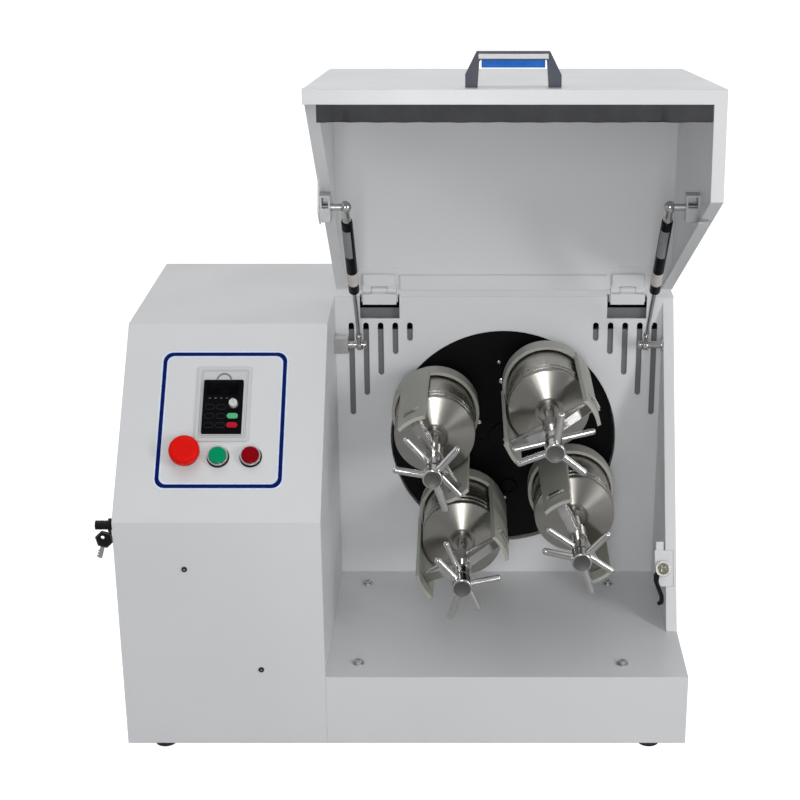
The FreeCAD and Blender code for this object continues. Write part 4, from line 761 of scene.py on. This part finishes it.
def thread(bm, h0, h1, root, crest, pitch=1.75, around=18, per_turn=5):
    """Skin of a screw thread between two heights, with its ends closed on the root."""
    rows = []
    count = max(2, int((h1 - h0) / pitch * per_turn))
    for j in range(count + 1):
        h = h0 + (h1 - h0) * j / count
        row = []
        for i in range(around):
            phase = (h / pitch - i / around) % 1.0
            ridge = 1.0 - abs(2.0 * phase - 1.0)
            r = root + (crest - root) * min(1.0, ridge * 1.25)
            a = 2 * math.pi * i / around
            row.append(bm.verts.new((r * math.cos(a), r * math.sin(a), h)))
        rows.append(row)
    for low, high in zip(rows, rows[1:]):
        for i in range(around):
            j = (i + 1) % around
            bm.faces.new((low[i], low[j], high[j], high[i]))
    for row in (rows[0][::-1], rows[-1]):
        bm.faces.new(row)


def unit_details(k):
    name = UNITS[k]
    place = unit_frame(k, WALL_Y)
    hub = HUB_FRONTS[k]
    boss_front = JAR_FRONT + LID_DISC_T + LID_CONE + JAR_BOSS_T - 3.0
    bm = bmesh.new()
    root, crest = SCREW_R + 0.02, SCREW_R + 0.5
    thread(bm, boss_front + 3.4, SLOT_AT - BRIDGE_BACK - 0.6, root, crest)
    thread(bm, NUT_FRONT + 0.3, hub - HUB_T - 0.1, root, crest)
    finish_piece("screw_thread_" + name, bm, place, "press_" + name, ["thread"])

    face = unit_frame(k, WALL_Y - hub)
    bm = bmesh.new()
    add_lathe(bm, [(HUB_R - 1.9, 0.0), (HUB_R - 2.3, 0.25), (HUB_R - 2.9, 0.25), (HUB_R - 3.3, 0.05),
                   (0.0, 0.05)], 40)
    finish_piece("hub_face_" + name, bm, face, "press_" + name, ["hub"])

    bm = bmesh.new()
    ring, thick = JAR_R - 0.2, 0.75
    add_lathe(bm, closed([(ring + thick * math.cos(a), JAR_FRONT - 0.6 + thick * math.sin(a))
                          for a in (math.radians(45 * i) for i in range(8))]), 96)
    finish_piece("jar_seal_" + name, bm, place, "jar_unit_" + name, ["rubber"])


# Lid

def lid_shade_strip():
    """Dark cellular strip behind the sill, along its edge: painted shade under the lid's front edge. It is dented
    over the two front floor bolts.
    """
    x0, x1 = LID_X0 + LID_FLANGE + 0.5, LID_X1 - LID_FLANGE - 0.5
    section = rounded(SILL_Y1 - 2.0, SILL_Z + 0.3, SILL_Y1 + 20.0, SILL_Z + 8.0, 2.4, 4)
    bm = bmesh.new()
    steps, dent, dent_half = 96, 5.6, 11.0
    front_bolts = [place[0] for place in FLOOR_BOLTS if place[1] < FRONT + 60.0]
    rows = []
    for i in range(steps + 1):
        x = x0 + (x1 - x0) * i / steps
        swell = 0.22 * math.sin(i * 0.95) + 0.16 * math.sin(i * 0.37 + 1.0)
        lift = dent if min(abs(x - bolt) for bolt in front_bolts) < dent_half else 0.0
        row = []
        for y, z in section:
            low_back = y > SILL_Y1 + 6.0 and z < SILL_Z + 4.0
            row.append(bm.verts.new((x, y + swell, z + swell * 0.5 + (lift if low_back else 0.0))))
        rows.append(row)
    for a, b in zip(rows, rows[1:]):
        for i in range(len(section)):
            j = (i + 1) % len(section)
            bm.faces.new((a[i], a[j], b[j], b[i]))
    bm.faces.new(rows[0])
    bm.faces.new(rows[-1][::-1])
    # The strip's dark colour is painted shade under the lid's front edge
    finish_piece("lid_shade_strip", bm, LID, "lid", ["shade_foam"])


def roof_point(distance):
    """Closed (y, z) of a point on the lid's roof, a distance in front of the hinge."""
    top = (FRONT + 11.0, TOP - 17.0)
    back = (HINGE_Y - 1.0, HINGE_Z)
    run = math.hypot(back[0] - top[0], back[1] - top[1])
    dy, dz = (back[0] - top[0]) / run, (back[1] - top[1]) / run
    return back[0] - dy * distance, back[1] - dz * distance, math.atan2(dz, dy)


def hinge_trim():
    """A thin smear of sealant on the roof's inside above each hinge strap."""
    y, z, lean = roof_point(STRAP_L + 4.0)
    under = Matrix.Rotation(lean, 4, "X")
    out = Matrix.Translation((0, y * MM, z * MM)) @ under
    place = LID @ Matrix.Scale(1 / MM, 4) @ out @ basis((0, 0, -SHEET), (1, 0, 0), (0, -1, 0), (0, 0, -1))
    for n, centre in enumerate(HINGE_CENTRES):
        bm = bmesh.new()
        across, along = 60, 8
        half, deep = STRAP_HALF + 5.0, 4.0
        grid = []
        for i in range(across + 1):
            x = -half + 2 * half * i / across
            row = []
            wobble = 1.5 * math.sin(x * 0.31 + n) + 1.1 * math.sin(x * 0.83 + 2.0 * n)
            for j in range(along + 1):
                t = j / along
                rise = math.sin(math.pi * t) * (0.2 + 0.25 * math.sin(x * 0.47 + 3.0 * t + n))
                row.append(bm.verts.new((centre + x, 5.0 + t * deep + wobble * t, max(0.0, rise))))
            grid.append(row)
        for a, b in zip(grid, grid[1:]):
            for j in range(along):
                bm.faces.new((a[j], b[j], b[j + 1], a[j + 1]))
        finish_piece("hinge_sealant_%d" % (n + 1), bm, place, "lid", ["sealant"])

        back, front = 5.6 - STRAP_L - 4.0, -2.4
        cover = rounded(centre - STRAP_HALF + 1.5, back, centre + STRAP_HALF - 1.5, front, 1.0, 3)
        slab("hinge_cover_%d" % (n + 1), cover, 2.9, 3.8, place, "lid", "paint", 0.3)


def handle_trim():
    """White strip painted as the highlight along the grip's top, and the blue plate under it."""
    lean = math.atan2(TOP - LID_TOP_DROP - SILL_Z, LID_TOP_SET - SILL_Y0_SET)
    out = Matrix.Translation((HANDLE_X * MM, SILL_Y0 * MM, SILL_Z * MM)) @ Matrix.Rotation(lean, 4, "X")
    place = LID @ Matrix.Scale(1 / MM, 4) @ out @ basis((0, 0, 0), (1, 0, 0), (0, 1, 0), (0, 0, 1))
    half = HANDLE_HALF
    grip = box_outline(-half + 15.0, HANDLE_SET - 0.4, half - 15.0, HANDLE_SET + 2.0)
    # White plastic strip: painted highlight along the top bar
    slab("handle_highlight_strip", grip, HANDLE_H - 8.0, HANDLE_H - 2.5, place, "lid", "white", 0.3)
    plate = box_outline(-half + 18.5, HANDLE_SET + 2.0, half - 18.5, HANDLE_SET + 20.0)
    slab("handle_insert", plate, HANDLE_H - 18.0, HANDLE_H - 9.1, place, "lid", "bright_blue", 0.3)


# Struts

def strut_frame(index):
    """Origin at the lower ball, third axis up the strut, first axis along X."""
    (y0, z0), (y1, z1) = STRUT_LOW, STRUT_HIGH
    run = math.hypot(y1 - y0, z1 - z0)
    uy, uz = (y1 - y0) / run, (z1 - z0) / run
    return basis((STRUT_XS[index], y0, z0), (1, 0, 0), (0, uz, -uy), (0, uy, uz)), run


def ball_profile(r, centre, from_angle, to_angle, steps=10):
    out = []
    for i in range(steps + 1):
        a = math.radians(from_angle + (to_angle - from_angle) * i / steps)
        out.append((max(0.0, r * math.cos(a)), centre + r * math.sin(a)))
    return out


def strut_skin(index):
    """Black tube with rolled ends, bright cap and ball, paper label and printed band."""
    side = ("left", "right")[index]
    place, run = strut_frame(index)
    body = "strut_tube_body_" + side
    high = run - STRUT_TOP_L
    low = high - STRUT_TUBE_L
    r = STRUT_TUBE_R
    bm = bmesh.new()
    add_lathe(bm, [(3.3, low + 1.0), (3.3, low), (r - 1.4, low), (r - 0.3, low + 1.2), (r, low + 3.0),
                   (r, high - 3.0), (r - 0.4, high - 1.0), (r - 1.8, high), (0.0, high)], 44, 0)
    neck = 5.0
    cap = [(0.0, high - 0.2), (r - 2.0, high - 0.2), (r - 1.6, high + 0.8), (r - 1.6, high + 5.0),
           (neck, high + 6.2), (neck, high + 12.0)]
    eye = STRUT_EYE_R - 0.2
    start = -math.degrees(math.acos(min(1.0, (neck - 0.6) / eye)))
    add_lathe(bm, cap + ball_profile(eye, run, start, 90.0, 14), 40, 1)
    limit = STRUT_EYE_R / 2 + 0.1
    for vert in bm.verts:
        if vert.co.z > run - STRUT_EYE_R:
            if index == 0:
                vert.co.x = max(vert.co.x, -limit)
            else:
                vert.co.x = min(vert.co.x, limit)
    skin = finish_piece("strut_tube_" + side, bm, place, body, ["black_paint", "chrome"])
    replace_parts(skin, "strut_cylinder_" + side)

    bm = bmesh.new()
    top, bottom = high - 0.10 * STRUT_TUBE_L, high - 0.46 * STRUT_TUBE_L
    wrap = [(r - 0.1, bottom), (r + 0.14, bottom), (r + 0.14, top), (r - 0.1, top)]
    add_lathe(bm, closed(wrap), 24, 0, 98.0, 203.0)
    finish_piece("strut_label_" + side, bm, place, body, ["label"])
    bm = bmesh.new()
    top, bottom = high - 0.70 * STRUT_TUBE_L, high - 0.87 * STRUT_TUBE_L
    add_lathe(bm, closed([(r - 0.1, bottom), (r + 0.16, bottom), (r + 0.16, top), (r - 0.1, top)]), 40)
    finish_piece("strut_band_" + side, bm, place, body, ["band"])


# Lock and key

def lock_hook():
    """Light ring on the core with a bent black arm."""
    z0, z1 = HOOK_LIFT, HOOK_LIFT + HOOK_T
    bend = ((-9.4, -2), (-13.5, -8), (-13.5, -17), (-5.5, -39), (-6, -44), (-9.5, -47), (-8, -51),
            (-2, -49.5), (0.2, -46), (0.2, -38), (-7, -18), (-5.4, -9.2))
    bm = bmesh.new()
    x, s = LOCK_CORE_X, LOCK_CORE_S
    add_ring(bm, circle(x, s, HOOK_RING_R, 48), circle(x, s, LOCK_CORE_R + 0.1, 48), z0, z1, 1)
    add_slab(bm, [(x + dx, s + ds) for dx, ds in bend], z0 + 0.1, z1 - 0.1, 0)
    hook = finish_piece("lock_hook_arm", bm, SIDE, "lid_lock", ["black_paint", "zinc"], 0.5)
    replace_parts(hook, "lock_hook")
    bm = bmesh.new()
    add_lathe(bm, [(LOCK_CORE_R - 0.8, 0.0), (LOCK_CORE_R - 1.4, 0.5), (5.4, 0.5), (5.0, 0.15),
                   (0.0, 0.15)], 36, 1)
    for dx in (-1.0, 1.0):
        start = len(bm.verts)
        add_slab(bm, box_outline(-0.9 + 2.6 * dx, -4.2, 0.9 + 2.6 * dx, 4.2), 0.0, 0.7, 0)
    face = SIDE @ Matrix.Translation((x, s, LOCK_FRONT))
    finish_piece("lock_face", bm, face, "lid_lock", ["chrome", "hub"])


def key_trim():
    """Grey line painted as the highlight on the edge of the hanging key's bow, and a steel skin on its blade."""
    place = facing(KEY_X, KEY_Y, KEY_Z) @ Matrix.Rotation(math.radians(KEY_LEAN), 4, "Z")
    half = 1.5
    hexagon = [circle(0.0, 0.0, r, 6) for r in (KEY_BOW_R - 0.8, KEY_BOW_R - 1.7)]
    bm = bmesh.new()
    # Grey ring on the black bow: painted highlight along its edge
    add_ring(bm, hexagon[0], hexagon[1], half - 0.1, half + 0.2)
    finish_piece("key_line", bm, place, "spare_key", ["bow_highlight_grey"], 0.1)
    low = -KEY_BOW_R - KEY_BLADE_L - 0.1
    outline = [(2.75, low), (2.75, 1.0 - KEY_BOW_R), (-2.75, 1.0 - KEY_BOW_R)]
    for i in (2, 1, 0):
        tooth = low + 1.0 + 4.0 * i
        outline += [(-2.75, tooth + 2.2), (-4.35, tooth + 2.2), (-4.35, tooth), (-2.75, tooth)]
    outline.append((-2.75, low))
    slab("key_blade", outline, 0.4 - half, half - 0.4, place, "spare_key", "zinc", 0.15)


def front_screws():
    """Blackened caps of the two screws on the cabinet's front."""
    for n, (x, z) in enumerate(((LEFT + 89.8, BASE + 258.2), (LEFT + 183.6, BASE + 111.5))):
        bm = bmesh.new()
        screw_head(bm, 0.0, 0.0, 0.0, 3.7, 2.2)
        finish_piece("front_screw_%d" % (n + 1), bm, facing(x, FRONT, z), "housing", ["black_plastic"])


# Camera, as the photograph was taken
scene.view_settings.view_transform = "Standard"
lens = bpy.data.cameras.new("camera")
lens.sensor_width = 36.0
lens.lens = 75.42
lens.shift_x = -0.0806
camera = bpy.data.objects.new("camera", lens)
camera.location = (0.0777, -2.2165, 1.2113)
camera.rotation_euler = (math.radians(90.0 - 19.9), 0.0, 0.0)
scene.collection.objects.link(camera)
scene.camera = camera


# Light: a pale room, a large lamp overhead, a narrow lamp in front and one lamp at the right side
def lamp(name, where, aim, size, power):
    data = bpy.data.lights.new(name, "AREA")
    data.shape = "RECTANGLE"
    data.size, data.size_y = size
    data.energy = power
    made = bpy.data.objects.new(name, data)
    made.location = where
    made.rotation_euler = (Vector(aim) - Vector(where)).to_track_quat("-Z", "Y").to_euler()
    scene.collection.objects.link(made)
    return made


lamp("front", (0.0, -2.7, 1.15), (0.05, 0.0, 0.4), (0.32, 1.1), 16.5)
lamp("side", (1.9, -1.7, 1.0), (-0.1, 0.0, 0.35), (0.35, 1.0), 18.0)
lamp("top", (-0.2, -0.2, 2.9), (0.0, 0.0, 0.5), (1.8, 1.4), 11.0)

world = bpy.data.worlds.new("room")
world.use_nodes = True
tree = world.node_tree
tree.nodes.clear()
world_out = tree.nodes.new("ShaderNodeOutputWorld")
room = tree.nodes.new("ShaderNodeBackground")
room.inputs["Color"].default_value = (0.93, 0.96, 1.0, 1.0)
room.inputs["Strength"].default_value = 0.4
backdrop = tree.nodes.new("ShaderNodeBackground")
backdrop.inputs["Strength"].default_value = 1.0
toward = tree.nodes.new("ShaderNodeTexCoord")
split = tree.nodes.new("ShaderNodeSeparateXYZ")
front_shade = tree.nodes.new("ShaderNodeMapRange")
front_shade.inputs["From Min"].default_value = -0.75
front_shade.inputs["From Max"].default_value = 0.05
front_shade.inputs["To Min"].default_value = 0.28
front_shade.inputs["To Max"].default_value = 1.0
seen = tree.nodes.new("ShaderNodeLightPath")
glossy_tone = tree.nodes.new("ShaderNodeMath")
glossy_tone.operation = "MAXIMUM"
pick = tree.nodes.new("ShaderNodeMixShader")
any_ray = tree.nodes.new("ShaderNodeMath")
any_ray.operation = "MAXIMUM"
clear_ray = tree.nodes.new("ShaderNodeMath")
clear_ray.operation = "MAXIMUM"
tree.links.new(toward.outputs["Generated"], split.inputs[0])
tree.links.new(split.outputs["Y"], front_shade.inputs[0])
tree.links.new(front_shade.outputs[0], glossy_tone.inputs[0])
tree.links.new(seen.outputs["Is Camera Ray"], glossy_tone.inputs[1])
tree.links.new(glossy_tone.outputs[0], backdrop.inputs["Color"])
tree.links.new(seen.outputs["Is Camera Ray"], any_ray.inputs[0])
tree.links.new(seen.outputs["Is Glossy Ray"], any_ray.inputs[1])
tree.links.new(any_ray.outputs[0], clear_ray.inputs[0])
tree.links.new(seen.outputs["Is Transmission Ray"], clear_ray.inputs[1])
tree.links.new(clear_ray.outputs[0], pick.inputs[0])
tree.links.new(room.outputs[0], pick.inputs[1])
tree.links.new(backdrop.outputs[0], pick.inputs[2])
tree.links.new(pick.outputs[0], world_out.inputs[0])
scene.world = world


# Floor: white to the camera except where the object shades it
FLOOR_GLOW = 1.0


def make_floor():
    m = Mat("studio_floor", (0.5, 0.5, 0.5), 0.9)
    grain = m.noise(40.0, 4.0, 0.6)
    m.to(m.span(grain, 0.3, 0.7, 0.85, 0.95), "Roughness")
    m.to(m.mix(grain, (0.49, 0.49, 0.49), (0.51, 0.51, 0.51)), "Base Color")
    glow = m.add("ShaderNodeEmission")
    glow.inputs["Color"].default_value = (1.0, 1.0, 1.0, 1.0)
    camera_only = m.math("MULTIPLY", m.add("ShaderNodeLightPath").outputs["Is Camera Ray"], FLOOR_GLOW)
    m.link(camera_only, glow.inputs["Strength"])
    both = m.add("ShaderNodeAddShader")
    m.link(m.bsdf.outputs[0], both.inputs[0])
    m.link(glow.outputs[0], both.inputs[1])
    m.link(both.outputs[0], m.out.inputs[0])
    bm = bmesh.new()
    bmesh.ops.create_grid(bm, x_segments=8, y_segments=8, size=9.0)
    mesh = bpy.data.meshes.new("studio_floor")
    bm.to_mesh(mesh)
    bm.free()
    mesh.materials.append(m.mat)
    made = bpy.data.objects.new("studio_floor", mesh)
    made.location = (0.0, 0.0, -0.0005)
    scene.collection.objects.link(made)
    return m


floor_mat = make_floor()


# Pieces
panel_border()
keypad()
control_gaskets()
vent_liners_and_shade()
hinge_liners_and_shade()
floor_washers()
disc_hardware()
for unit in range(len(UNITS)):
    unit_details(unit)
lid_shade_strip()
hinge_trim()
handle_trim()
front_screws()
for strut in (0, 1):
    strut_skin(strut)
lock_hook()
key_trim()
